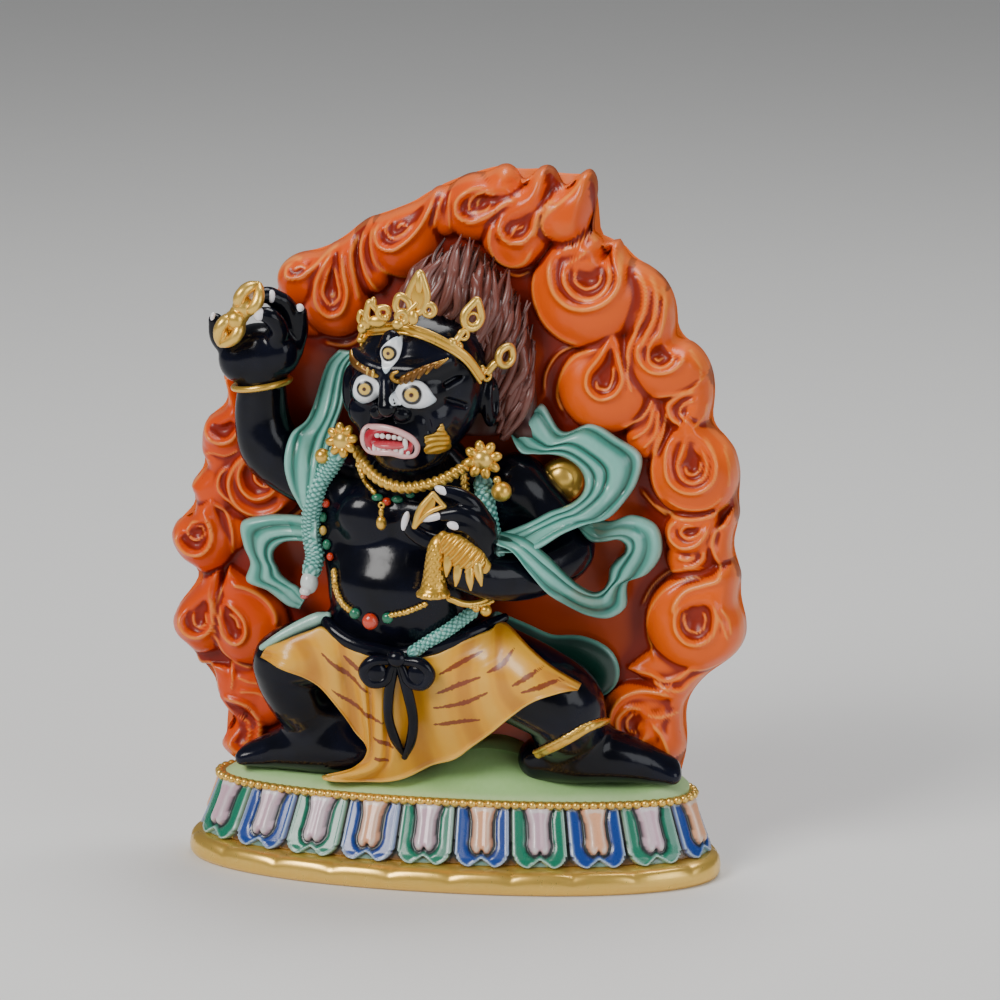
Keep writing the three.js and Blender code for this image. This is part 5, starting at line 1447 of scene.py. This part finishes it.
# Skirt: a hide hung from the belt, drawn up over both thighs, with painted tiger stripes.
# Each line of cloth falls from the belt to the hem; some turn at a knee into the long tail
skirt = {
    "top": [(-50.6, -17, 66.9), (-46, -18, 69), (-42, -19, 71), (-37.5, -19.6, 72.8), (-33.8, -20, 74),
            (-30, -21, 71.6), (-27.1, -21.5, 70), (-24.5, -22.3, 68.8), (-21.8, -23, 67.9),
            (-19.5, -23.2, 67.3), (-17, -23.4, 66.8), (-14, -23.5, 66.4), (-11.2, -23.5, 66.4),
            (-5, -23, 67.6),
            (0.2, -22.5, 68.8), (5, -21.2, 71.4), (9.7, -20, 73.4), (14, -18, 75), (17.9, -16, 76.4),
            (26, -20, 70.6), (33, -21.6, 66), (40.6, -21.6, 61.4)],
    "hem": [(-52.4, -16.6, 64), (-45, -20.6, 62), (-39.5, -20.4, 59.5), (-34.4, -20, 56.3), (-31, -19, 52.4),
            (-28.6, -18, 48.6), (-25.4, -16, 42.2), (-22.2, -14.5, 38), (-22.4, -13.4, 33.4),
            (-29.2, -12.8, 29.2), (-36.4, -12.6, 27.2), (-25, -12.6, 26.4), (-12.1, -12, 28),
            (-3.4, -12, 32.3),
            (3.2, -13, 35), (8, -15, 39), (13.1, -17, 43.3), (20.1, -21, 50.2), (28.3, -23.4, 56.9),
            (34.2, -23, 59.3), (38, -22, 60), (40, -21.6, 60.2)],
    "knees": {8: (-20.9, -17, 42), 9: (-20, -16, 34.6), 10: (-18, -15.4, 32), 11: (-15.5, -15.6, 32.4),
              12: (-11.8, -16.4, 38)},
    "turn": 0.72, "round": 0.08,
    # painted strokes as seen from the front, across and up
    "stripes": [[(-43.2, 71.7), (-40.3, 73.2)], [(-33.3, 67.5), (-29.3, 63.8), (-25, 60.5), (-19.8, 56)],
                [(-30.9, 56.4), (-25.4, 52.2), (-20.8, 49.2), (-15, 46.6)], [(-19.5, 42.2), (-13.6, 39.4)],
                [(-27, 66.8), (-21.6, 62.2)], [(-19.4, 35.6), (-15.5, 34.9)], [(0.5, 62.9), (12.5, 70)],
                [(14.5, 64.5), (18.6, 67), (21.6, 71)], [(22, 61.6), (30.2, 67)], [(-0.7, 57), (12.5, 63)],
                [(-1.5, 52.5), (7, 54.4), (14.5, 58.6)], [(24.7, 60), (36, 64)],
                [(-2.1, 46.9), (11.7, 49.4)]],
    "stroke": 0.85}


def skirtPieces():
    columns, rows = 200, 76
    turn, top, hem = skirt["turn"], np.array(skirt["top"], float), np.array(skirt["hem"], float)
    knee = top + (hem - top) * turn
    for station, place in skirt["knees"].items():
        knee[station] = place
    hem, knee, top = np.split(spline(np.hstack([hem, knee, top]), columns), 3, axis=1)
    down = np.linspace(0, 1, rows)[:, None]
    share = np.linspace(0, 1, columns)[None, :]
    # the share of the last leg, rounded at the knee, and what is left for the first
    bend = np.sqrt((down - turn) ** 2 + skirt["round"] ** 2) + down
    last = (bend - bend[0]) / (bend[-1] - bend[0])
    first = (down - (1 - turn) * last) / turn
    flat = top + (knee - top) * first[..., None] + (hem - knee) * last[..., None]
    x, z = flat[..., 0], flat[..., 2]
    # folds swing from the belt down to the hem's lowest corner and up over the thighs
    swing = share * 15 + 1.6 * np.sin(down * np.pi * 0.9) * (share - 0.45)
    fold = np.sin(swing * whole * 0.5)
    edge = np.minimum(np.minimum(share, 1 - share) * 22, 1)
    depth = (0.75 - 0.4 * smoothStep(0.62, 0.8, share)) * smoothStep(0.04, 0.35, down) * edge
    thigh = 2.6 * np.exp(-(((x - 27) / 13) ** 2 + ((z - 62) / 9) ** 2))
    thigh += 1.8 * np.exp(-(((x + 40) / 9) ** 2 + ((z - 66) / 6) ** 2))
    flat[..., 1] -= 1.6 * np.sin(np.pi * down ** 0.8) + thigh
    flat = drape(flat, bodyModel, 1.0, 4)
    front = flat.copy()
    front[..., 1] -= 0.6 + depth * fold + 0.8 * np.exp(-((down - 0.975) / 0.02) ** 2)
    front[..., 1] += 1.6 * smoothStep(0.985, 1.0, down)
    back = flat.copy()
    back[..., 1] += 2.0
    # each line of cloth is one ring, down the front and up the back
    def around(ahead, behind):
        return np.swapaxes(np.concatenate([ahead, behind[::-1]]), 0, 1)

    shape = outward(*capped(around(front, back)))
    # stripes: how near each point of the front lies to a stroke, 1 on its line and 0 at its edge
    marks = np.full(x.shape, -1.0)
    for stroke in skirt["stripes"]:
        line = np.column_stack([np.array(stroke, float), np.zeros(len(stroke))])
        line = spline(line, 30)[:, :2]
        away = np.linalg.norm(front[:, :, None, ::2] - line, axis=-1)
        wide = skirt["stroke"] * np.sin(np.pi * np.linspace(0.12, 0.88, 30))
        marks = np.maximum(marks, np.max(1 - away / wide, axis=2))
    marks = around(marks, np.full(x.shape, -1.0)).ravel()
    ochre, cream, deep = np.array([[0.74, 0.35, 0.018], [0.86, 0.53, 0.09], [0.46, 0.17, 0.012]])
    fold, down = fold[..., None], down[..., None]
    # painted highlight on the fold crests, painted shade in the fold hollows; cream along the rolled hem
    tone = toward(ochre, cream, smoothStep(0.1, 0.95, fold) * 0.3)
    tone = toward(tone, deep, smoothStep(-0.2, -0.95, fold) * 0.6)
    tone = toward(tone, cream, smoothStep(0.955, 0.985, down) * 0.8)
    tone = around(tone, np.ones_like(tone) * ochre).reshape(-1, 3)
    putMesh("skirt", shape, skirtPaint, "skirt_ochre", 12, 0.7, paint=np.vstack([tone, ochre, ochre]),
            marks=np.concatenate([marks, [-1, -1]]))

    # waist sash and belt, knot, two loops and two tails
    sash = [[-53, -13, 65.4, 0.9], [-46.5, -16, 70, 1.5], [-40, -17, 73.7, 1.9], [-35, -18, 76.2, 1.9],
            [-32.6, -18.4, 77.2, 1.1]]
    shape = outward(*sweep(seat(spline(sash, 20), bodyModel, 1.0, soft=True), 60, 20))
    putMesh("sashEdge", shape, scarfPaint, "scarf_teal", 8, 0.4,
            paint=plain(shape, [0.30, 0.52, 0.44]))
    belt = [[-34.2, -16.6, 76.6, 1.4], [-31.6, -19.5, 74.2, 2], [-27.3, -22, 71.8, 2.2],
            [-22, -24, 70.2, 2.2],
            [-15.2, -25, 69, 2.3], [-11, -25.6, 68.6, 2.3], [-2.4, -24.6, 70.6, 2.3], [5.8, -22.4, 73.4, 2.3],
            [13.8, -19, 76.4, 2.1], [17.6, -15, 78, 1.3]]
    shapes = [sweep(seat(spline(belt, 40), bodyModel, 0.9, soft=True), 120, 24),
              ball((-11, -27.2, 68), (3.0, 2.4, 2.6), 28, 18)]
    for side, sx in ((-1, -16.6), (1, -5.2)):
        loop = [[-11 + side * 1.6, -27, 67.4, 1.3], [sx + side * 1.4, -28, 67.0, 1.7],
                [sx + side * 3.6, -27.6, 64, 1.8], [sx + side * 1.6, -27, 60.8, 1.8],
                [sx - side * 2.2, -26.8, 61.4, 1.6], [-11 + side * 1.4, -26.8, 65.6, 1.2]]
        shapes += [
            sweep(loop, 70, 18), ball((sx + side * 0.6, -27.2, 63.8), (3.4, 1.9, 3.4), 24, 16)]
    tails = [[-11.8, -26.6, 66, 1.4, 1.1], [-13.6, -25.8, 57, 1.5, 1.1], [-14.2, -23, 49, 1.4, 1.1],
             [-12.8, -20.4, 42, 1.4, 1.1], [-11.2, -18, 37.6, 0.8, 0.8]]
    other = [[-10.2, -26.6, 66, 1.4, 1.1], [-8.0, -25.6, 57, 1.6, 1.1], [-7.2, -23, 49, 1.5, 1.1],
             [-8.4, -20.2, 42, 1.5, 1.1], [-10.8, -17.6, 36.2, 0.9, 0.8]]
    shapes += [sweep(tails, 70, 18), sweep(other, 70, 18)]
    shape = merge([outward(*part) for part in shapes])
    putMesh("belt", shape, bodyEnamel, "scarf_teal", 8, 0.4)


# Hair: a swept-up flame of strands behind the crown
hair = {
    "root": [(-14, -12, 161), (-8, -15, 164), (-2, -16, 164), (5, -14, 160), (10, -12, 152), (14, -8, 140),
             (16, -4, 127)],
    "middle": [(-11, -9, 169), (-5, -12, 173), (1, -13, 174), (9, -11.5, 170), (15, -9.5, 162),
               (19.4, -7, 151), (21.4, -4.5, 138)],
    "tip": [(-8, -4, 176.5), (-1, -5.5, 180), (4.5, -4.5, 182.8), (8, -3, 180), (14, -3, 173.5),
            (21, -2.5, 164.5), (23.4, -2, 151)],
    "strands": 150}


def hairPieces():
    clay = Clay((-20, -16, 122), (32, 14, 188), 0.9)
    clay.stack([[128, 7, 0, 9, 6], [138, 8, 0, 13.4, 8], [152, 8, -1, 15.8, 10], [164, 5.8, -1.5, 14, 9.5],
                [173, 4, -1, 10.5, 7.5], [181, 4.6, -1, 3.4, 3.4]], 2)
    clay.ball((21, -1, 138), (3.6, 3, 6), 2)
    clay.ball((21, -1, 129.6), (4.4, 3, 4), 2)
    clay.ball((-28.4, -7.5, 141.8), (3.4, 3, 4.8), 1.5)
    clay.ball((-29, -7, 133.6), (5, 3, 3), 1.5)
    shape = clay.skin()
    putMesh("hairMass", shape, hairPaint, "hair_brown", 8, 0.6, paint=plain(shape, [0.050, 0.009, 0.007]))
    dice = np.random.default_rng(7)
    count = hair["strands"]
    lines = [spline(hair[key], count) for key in ("root", "middle", "tip")]
    shapes, tones = [], []
    for k in range(count):
        shift = dice.normal(0, 1.0, (3, 3)) * [[1.2, 0.6, 1.2], [1.0, 0.8, 1.2], [0.9, 0.8, 1.6]]
        a, b, c = (line[k] + move for line, move in zip(lines, shift))
        fat = dice.uniform(0.8, 1.5)
        mid1, mid2 = (a + b) / 2 + dice.normal(0, 0.9, 3), (b + c) / 2 + dice.normal(0, 0.9, 3)
        rows = np.array([[*a, fat * 0.8], [*mid1, fat], [*b, fat * 1.1], [*mid2, fat * 0.8], [*c, 0.25]])
        part = sweep(rows, 20, 6, capRings=2)
        shapes.append(part)
        mood = dice.uniform(0, 1)
        base = [0.105, 0.018, 0.011] if mood < 0.7 else [0.17, 0.065, 0.055]
        tones.append(plain(part, [0.035, 0.007, 0.006] if mood < 0.2 else base))
    shape = outward(*merge(shapes))
    putMesh("hairStrands", shape, hairPaint, "hair_brown", 3, 0.35, paint=np.vstack(tones))


# Jewels and emblems, mostly gold
def putGold(name, shapes, passes, depth):
    putMesh(name, merge([outward(*part) for part in shapes]), goldPaint, "paint_gold", passes, depth)


def loopBar(centre, wide, high, bar, point=0.0, lean=0.0, side=(1, 0, 0), steps=40):
    # a closed ring or teardrop of bar; point draws its top out, lean turns it in degrees
    turn = np.arange(steps) * whole / steps
    a = wide * np.sin(turn) * (1 - point * np.clip(np.cos(turn), 0, 1) ** 2)
    b = high * np.cos(turn) + point * high * 0.7 * np.clip(np.cos(turn), 0, 1) ** 3
    c, s = np.cos(np.radians(lean)), np.sin(np.radians(lean))
    a, b = a * c + b * s, b * c - a * s
    side = unit(np.array(side, float))
    path = np.array(centre) + a[:, None] * side + b[:, None] * [0, 0, 1.0]
    out = unit(np.cross(side, [0, 0, 1.0]))
    ahead = unit(np.roll(path, -1, axis=0) - np.roll(path, 1, axis=0))
    across = np.cross(ahead, out)
    angle = np.arange(10) * whole / 10
    ring = (path[:, None] + across[:, None] * bar * np.cos(angle)[:, None]
            + out * bar * np.sin(angle)[:, None])
    points = ring.reshape(-1, 3)
    return outward(points, gridFaces(steps + 1, 10) % len(points))


def workedBar(path, radius, factor):
    # a round bar along the path, its radius multiplied by factor, an array of (rings, sides)
    rings, sides = factor.shape
    points, faces = sweep([[*p, radius] for p in path], rings - 8, sides)
    ring = points[:-2].reshape(rings, sides, 3)
    middle = ring.mean(1, keepdims=True)
    ring = middle + (ring - middle) * factor[..., None]
    return np.vstack([ring.reshape(-1, 3), points[-2:]]), faces


def barGrid(rings, sides):
    # how far along a bar and at which angle each of its points lies, its rounded ends included
    return np.arange(rings + 8)[:, None] / (rings + 8), np.arange(sides)[None, :] * whole / sides


def rope(path, radius, turns, rings=160, sides=18, deep=0.16, clay=None):
    # a twisted cord: a round bar whose radius rises and falls on slanted threads
    path = seat(spline(path, 24), clay, 0.5 * radius) if clay else path
    along, angle = barGrid(rings, sides)
    return workedBar(path, radius, 1 + deep * np.cos(turns * whole * along + 2 * angle))


def rosette(centre, out, radius):
    # eight rounded petals about a small boss, facing out
    out = unit(np.array(out, float))
    side = unit(np.cross([0, 0, 1.0], out))
    up = np.cross(out, side)
    shapes = []
    for k in range(8):
        angle = k * whole / 8 + 0.2
        spoke = np.cos(angle) * side + np.sin(angle) * up
        cross = np.cos(angle) * up - np.sin(angle) * side
        points, faces = ball((0.66, 0, 0), (0.36, 0.2625, 0.26), 18, 12)
        points = np.array(centre) + radius * points @ np.array([spoke, cross, out])
        shapes.append(outward(points, faces))
    shapes.append(outward(*ball(np.array(centre) - out * 0.8, (radius * 0.6,) * 3, 20, 12)))
    return shapes


def vajra(start, end, fat, bar):
    # a double thunderbolt: a hub, and on each side four bars that swell and meet at a point
    start, end = np.array(start, float), np.array(end, float)
    axis, length = unit(end - start), np.linalg.norm(end - start)
    side = unit(np.cross(axis, [0, -1, 0.2]))
    up = np.cross(side, axis)
    hub = (start + end) / 2
    shapes = [ball(hub, (bar * 1.7,) * 3, 20, 12)]
    for sign in (-1, 1):
        shapes.append(ball(hub + axis * sign * length * 0.12, (bar * 1.9,) * 3, 18, 12))
        for k in range(4):
            spoke = np.cos(k * np.pi / 2 + 0.6) * side + np.sin(k * np.pi / 2 + 0.6) * up
            stations = [[*(hub + axis * sign * length * t + spoke * fat * r), bar * b] for t, r, b in
                        ((0.10, 0.3, 0.8), (0.18, 0.95, 1.0), (0.30, 1.05, 1.0), (0.42, 0.65, 0.9),
                         (0.5, 0.12, 0.6))]
            shapes.append(sweep(stations, 26, 10))
        tip = hub + axis * sign * length * 0.5
        shapes.append(sweep([[*hub, bar], [*tip, bar * 0.5]], 10, 10))
    return shapes


def crownPieces():
    band = seat([(-21.6, -21, 157.6), (-20.2, -22.6, 160.2), (-15.4, -26, 162), (-9.3, -28.5, 163),
                 (-2.2, -29, 161.6), (3.7, -26, 158.1), (7.6, -21, 153.9), (10.6, -13.5, 146.6)], headModel,
                 0.7)
    shapes = [sweep([[*p, 1.5, 1.0] for p in band], 120, 24)]
    for lift, out in ((1.25, 0.6), (-1.25, 0.6)):
        shapes.append(sweep([[x, y - out, z + lift, 0.5] for x, y, z in band], 120, 10))
    # middle leaf with its scrolls
    shapes += [
        loopBar((-4.3, -28, 172), 2.6, 4.8, 1.05, 0.5, 6),
        ball((-4.4, -27.8, 171.6), (2.6, 1.0, 4.8), 24, 14),
        ball((-3.8, -28.4, 175.6), (1.2, 1.0, 3.0), 14, 10),
        loopBar((-8.4, -28.4, 169.2), 2.0, 2.5, 1.05, 0.2, -20),
        loopBar((-8.4, -28.9, 166.2), 1.5, 1.5, 1.0), loopBar((-1.2, -28, 168.2), 1.5, 1.5, 0.95),
        ball((-9.6, -29.8, 164.3), (1.7, 1.2, 1.5), 16, 10),
        ball((-5.4, -29.4, 166.2), (1.5, 1.1, 2.2), 16, 10),
        sweep([[-9.5, -29, 163.5, 0.7], [-6.5, -29, 168, 0.8], [-4.5, -28.4, 170, 0.7]], 20, 10)]
    # left leaf and knobs
    shapes += [
        loopBar((-17.4, -26, 166), 1.7, 2.6, 1.0, 0.5, -14),
        ball((-16, -26.6, 164.2), (2.6, 1.3, 1.8), 18, 12),
        ball((-19.4, -24.6, 163.4), (1.8, 1.2, 2.2), 18, 12),
        loopBar((-14.2, -27, 166.8), 1.6, 1.4, 0.9, 0.3, 50),
        ball((-17.2, -26, 169.2), (1.0, 1.0, 1.8), 14, 10),
        ball((-13.2, -27.8, 165.6), (1.1, 1, 1.1), 14, 10),
        ball((-20.6, -24.6, 161.8), (1.5, 1.3, 1.7), 14, 10),
        loopBar((-20.6, -23.6, 164.2), 1.2, 1.6, 0.75, 0.4, -20)]
    # right leaf with its opening
    lean = (0.85, 0.5, 0)
    shapes += [
        loopBar((9.6, -20.2, 165.2), 2.6, 3.4, 1.15, 0.55, 16, lean),
        loopBar((9.6, -20.4, 164.6), 1.6, 1.6, 0.5, 0, 0, lean),
        sweep([[5.4, -23, 158.6, 1.1], [7, -22, 161, 0.9], [8.6, -21, 162.4, 0.8]], 20, 10),
        loopBar((7.4, -22.2, 160.4), 1.3, 1.3, 0.6, 0, 0, lean),
        ball((4.6, -24.6, 158.4), (1.5, 1.3, 1.5), 16, 10),
        ball((6.4, -23.6, 157.4), (1.2, 1.1, 1.2), 16, 10)]
    # far right ring on its stem
    lean = (0.7, 0.71, 0)
    shapes += [
        loopBar((17.6, -13, 152.8), 2.4, 2.6, 1.15, 0.2, 30, lean),
        sweep([[12.8, -14.4, 148.6, 1.2], [14.4, -14, 150.6, 1.2], [15.6, -13.8, 151.4, 1.1]], 20, 10),
        loopBar((12.6, -15, 147.6), 1.2, 1.3, 0.6, 0, 0, lean),
        ball((11.2, -16, 149.6), (1.3, 1.2, 1.3), 16, 10)]
    putGold("crown", shapes, 6, 0.3)


def goldPieces():
    shapes = rosette((-26.8, -24.4, 129.7), (-0.28, -0.95, 0.1), 5.0)
    shapes += rosette((12.4, -20.6, 124.8), (0.22, -0.97, 0.1), 5.5)
    shapes += [ball((-33.6, -18.6, 123.6), (2.2, 2.2, 2.2), 24, 16),
               ball((17.4, -18.6, 115.4), (2.9, 2.9, 2.9), 28, 18),
               ball((16.2, -19.2, 118.8), (1.2, 1.2, 1.2), 14, 10)]
    shapes.append(rope([(-23.4, -19.6, 125.6), (-19.6, -23, 121.4), (-15.6, -25, 118.8), (-9.4, -26, 117.2),
                        (-3, -25.6, 118), (2.4, -24, 119.8), (8.6, -20.4, 123.4)], 1.55, 21, 240))
    putGold("rosettesAndCollar", shapes, 6, 0.35)
    # fine chains, pendant, belly chain, anklet, bracelets
    shapes = [rope([(-22.9, -21.6, 122.4), (-20.5, -23, 117.9), (-17.8, -23.4, 114.8)], 0.7, 16, 90, 10,
                   clay=bodyModel),
              rope([(-30.6, -18.4, 90.4), (-29.5, -21.6, 86.3), (-27, -24.4, 82.7), (-24.4, -25.8, 81)],
                   0.9, 14, 90, 12, clay=bodyModel),
              rope([(-13, -26.4, 80.2), (-8.3, -25.6, 81.3), (-3.3, -24, 83.3)], 0.75, 10, 60, 12,
                   clay=bodyModel),
              rope([(7.3, -20.6, 119.8), (7.6, -20.6, 115.8), (8.3, -20.4, 112), (9.1, -20, 107.8)], 1.1, 9,
                   80, 12, 0.3, bodyModel),
              ball((-15.7, -24.4, 106.4), (1.5, 1.3, 2.1), 18, 12),
              ball((-15.7, -24.2, 109.4), (0.8, 0.8, 1.4), 14, 10),
              loopBar((-15.7, -24, 111.4), 0.7, 0.7, 0.35)]
    bandPath = [(25.6, -5.4, 35.2), (28.4, -8.8, 37.4), (32.8, -11.6, 40.4), (37, -12.4, 43.2),
                (41, -11, 45.6),
                (45.6, -6.4, 46.4)]
    bandPath = seat(spline(bandPath, 24), bodyModel, 0.3)
    shapes += [
        sweep([[*p, 1.3, 0.9] for p in bandPath], 80, 16),
        rope([(x - 0.8, y - 0.6, z + 0.9) for x, y, z in bandPath], 0.6, 26, 120, 8)]
    wrist = [(14.2, -21, 100.8), (17, -22, 96.6), (17.9, -23.4, 92.2), (16.6, -25.6, 88.6),
             (13.2, -28, 85.8), (9.2, -30.4, 85.6), (5, -32, 87.4)]
    shapes += [
        sweep([[*p, 0.95] for p in wrist], 80, 12),
        rope([(x + 1.5, y + 0.4, z - 0.6) for x, y, z in wrist[:6]], 0.75, 24, 120, 10)]
    shapes += [ball((14.6, -28, 83.4), (1.7, 1.7, 1.7), 20, 12),
               ball((12, -29, 84.2), (1.2, 1.2, 1.2), 16, 10)]
    # bangle of the raised wrist
    turn = np.arange(40) * whole / 39
    ring = np.stack([-53.2 + 7.9 * np.cos(turn), -8 + 7.9 * np.sin(turn), 141.6 + 1.2 * np.cos(turn)], 1)
    shapes.append(sweep([[*p, 0.95] for p in ring], 120, 12))
    putGold("chains", shapes, 4, 0.3)


def emblemPieces():
    # bell: a ribbed body with a scalloped foot
    height = np.array([88.2, 88.6, 89.4, 90.4, 92, 94, 97, 100, 102.4, 104, 105.2, 105.9])
    radius = np.array([4.2, 4.5, 4.4, 3.8, 3.3, 3.15, 3.0, 2.85, 2.6, 2.3, 1.5, 0.7])
    fine = spline(np.stack([radius, height], 1), 90)
    angle = np.arange(72) * whole / 72
    tall = (fine[:, 1:] - 88.2) / 17
    net = 0.28 * np.abs(np.sin(5 * angle + tall * 22)) * np.abs(np.sin(5 * angle - tall * 22)) \
        * smoothStep(0.12, 0.2, tall) * smoothStep(0.95, 0.85, tall)
    foot = 0.35 * np.abs(np.cos(6 * angle)) * smoothStep(0.14, 0.04, tall)
    r = fine[:, :1] + net + foot
    leanX = 0.5 + 0.10 * (fine[:, 1:] - 88)
    bell = np.stack([leanX + r * np.cos(angle), r * np.sin(angle) - 33, fine[:, 1:] + 0 * angle], -1)
    shapes = [capped(bell)]
    # half thunderbolt in the same hand: ribbed bars and teeth below
    fan = [[3.8, -35.2, 106, 1.6, 1.4], [6.2, -35.6, 104, 3.6, 2.0], [9.6, -35.4, 101, 4.4, 2.2],
           [12.6, -34.6, 98.4, 4.2, 2.0], [15.2, -33.4, 96.6, 2.6, 1.4]]
    points, faces = sweep(fan, 90, 36)
    wave = np.repeat(np.sin(np.arange(98) * 0.62), 36)
    points[:-2, 1] += 0.42 * wave * (points[:-2, 1] < -35)
    shapes.append((points, faces))
    for k in range(5):
        t = 0.12 + 0.19 * k
        a = np.array([4 + 11 * t, -35.6, 104.2 - 7.6 * t])
        shapes.append(sweep([[*(a + [-1.6, 0, -1.6]), 0.6], [*(a + [0, -0.8, 0]), 0.8],
                             [*(a + [1.6, 0.2, 1.6]), 0.5]], 16, 10))
    for x, z, dx in ((5.6, 97.6, -0.6), (8.4, 95.0, -0.8), (11.4, 94.0, 0.4), (13.6, 95.4, 1.2)):
        shapes.append(sweep([[x, -35.6, z + 3, 1.5], [x + dx * 0.5, -36.2, z, 1.2],
                             [x + dx, -36.4, z - 2.6, 0.35]], 20, 12))
    # triangular finial above the fingers
    corners = [(1.2, -36.2, 118.2), (4.4, -36.2, 114.8), (0.6, -37, 111.8), (-3.8, -37, 108.9)]
    shapes += [
        sweep([[*corners[0], 0.8], [*corners[1], 0.75]], 20, 10),
        sweep([[*corners[1], 0.75], [0.4, -37.0, 113.2, 0.6], [*corners[3], 0.7]], 20, 10),
        sweep([[*corners[3], 0.8], [-2.4, -36.8, 113.6, 0.9], [*corners[0], 0.8]], 24, 10),
        sweep([[1.0, -36, 117, 1.2, 0.4], [-0.5, -36.4, 113.4, 1.8, 0.4], [-3, -36.6, 110, 0.8, 0.4]], 24,
              14)]
    putGold("bellAndBolt", shapes, 5, 0.3)
    shapes = vajra((-62.2, -19.4, 155), (-52, -16.4, 171.4), 3.3, 1.75)
    shapes += [
        ball((-57.6, -20.6, 162), (2.6, 2, 2.6), 20, 12),
        ball((-61.6, -20, 157.4), (2.2, 1.8, 2.2), 20, 12),
        ball((-54.6, -16.8, 170.2), (2.4, 1.8, 1.8), 20, 12)]
    putGold("raisedVajra", shapes, 5, 0.35)


def stonePieces():
    green, coral, gold = (0.015, 0.17, 0.09), (0.60, 0.035, 0.004), (0.62, 0.40, 0.08)
    stones = [((-16.8, -24.2, 113.6), (1.7, 1.2, 1.1), green), ((-14, -24.9, 112.7), (1.25, 1.2, 1.2), coral),
              ((-11, -24.9, 113.5), (1.7, 1.2, 1.1), green), ((-7.4, -24.6, 114.8), (1.3, 0.9, 0.9), green),
              ((-32.8, -18.6, 110), (1.2, 1.1, 1.3), coral), ((-33.7, -18.4, 105.9), (1.2, 1.1, 1.5), green),
              ((-33.7, -18.4, 102), (1.1, 1.1, 1.4), gold), ((-32.6, -18.6, 98), (1.2, 1.1, 1.5), green),
              ((-31.6, -19, 94.6), (1.0, 1.0, 1.2), coral),
              ((-23, -26.6, 80.4), (1.6, 1.3, 1.6), green), ((-18.4, -27.6, 78.6), (2.3, 1.9, 2.4), coral),
              ((-13.6, -27, 79.6), (1.6, 1.3, 1.6), green)]
    shapes, tones = [], []
    places = seat([centre for centre, _, _ in stones], bodyModel, 0.5)
    for centre, (_, radii, tone) in zip(places, stones):
        shapes.append(ball(centre, radii, 20, 14))
        tones.append(plain(shapes[-1], tone))
    putMesh("stones", merge(shapes), trimPaint, "trim_paint", 4, 0.4, paint=np.vstack(tones))


def serpentPieces():
    # turquoise garlands with a scaly skin
    paths = {"serpent": ([(-29.6, -18, 124), (-31.6, -17.6, 120.6), (-35, -16.4, 115.6), (-37, -15.6, 109.7),
                          (-37.8, -15.4, 103.8), (-37.3, -15.6, 98), (-36.6, -16, 93.6), (-37.4, -17, 90)],
                          2.7, 30),
             "garland": ([(11.4, -14.6, 116.6), (12.6, -15.2, 110), (13.8, -15.8, 104.3),
                          (15.6, -16.4, 98)], 2.6, 18),
             "garlandEnd": ([(9.6, -21.6, 81), (3.6, -24.4, 76.6), (-1.8, -26, 73.2), (-6.4, -26.6, 70)],
                            1.8, 14)}
    for name, (path, radius, threads) in paths.items():
        path = seat(spline(path, 30), bodyModel, 0.75 * radius, -4, True)
        along, angle = barGrid(150, 36)
        slant = along * threads * np.pi
        net = np.abs(np.sin(slant + 3 * angle)) * np.abs(np.sin(slant - 3 * angle))
        tone = toward(np.array([0.04, 0.20, 0.17]), [0.26, 0.62, 0.55], smoothStep(0.1, 0.7, net)[..., None])
        tone = np.vstack([tone.reshape(-1, 3), [[0.2, 0.4, 0.36]] * 2])
        shape = outward(*workedBar(path, radius, 0.9 + 0.2 * net))
        putMesh(name, shape, scarfPaint, "scarf_teal", 4, 0.35, paint=tone)
    head = [ball((-37.9, -18, 86.6), (2.5, 3, 3.4), 28, 18),
            ball((-38.6, -20, 84.6), (1.7, 2.2, 1.5), 20, 12),
            ball((-38.8, -20.6, 83.2), (1.2, 1.6, 0.8), 16, 10)]
    tones = [plain(*pair) for pair in zip(head, ((0.62, 0.68, 0.66), (0.70, 0.70, 0.68), (0.5, 0.05, 0.05)))]
    putMesh("serpentHead", merge(head), trimPaint, "trim_paint", 5, 0.4, paint=np.vstack(tones))


def putFloor():
    kit = Finish("paleFloor")
    grain = kit.noise(30, 3)
    tone = kit.mix(grain * 0.2, (0.66, 0.66, 0.65), (0.72, 0.72, 0.71))
    kit.done(Base_Color=tone, Roughness=0.7, Emission_Color=tone, Emission_Strength=0.15)
    mesh = bpy.data.meshes.new("floor")
    mesh.from_pydata([(-4, -4, 0), (4, -4, 0), (4, 4, 0), (-4, 4, 0)], [], [(0, 1, 2, 3)])
    mesh.materials.append(kit.material)
    floor = bpy.data.objects.new("floor", mesh)
    bpy.context.collection.objects.link(floor)


putFloor()
plinthPieces()
print("plinth")
flamePieces()
print("flames")
figurePieces()
print("body")
headPieces()
handPieces()
hairPieces()
print("head and hands")
scarfPieces()
skirtPieces()
print("dress")
crownPieces()
goldPieces()
emblemPieces()
stonePieces()
serpentPieces()
print("jewels")
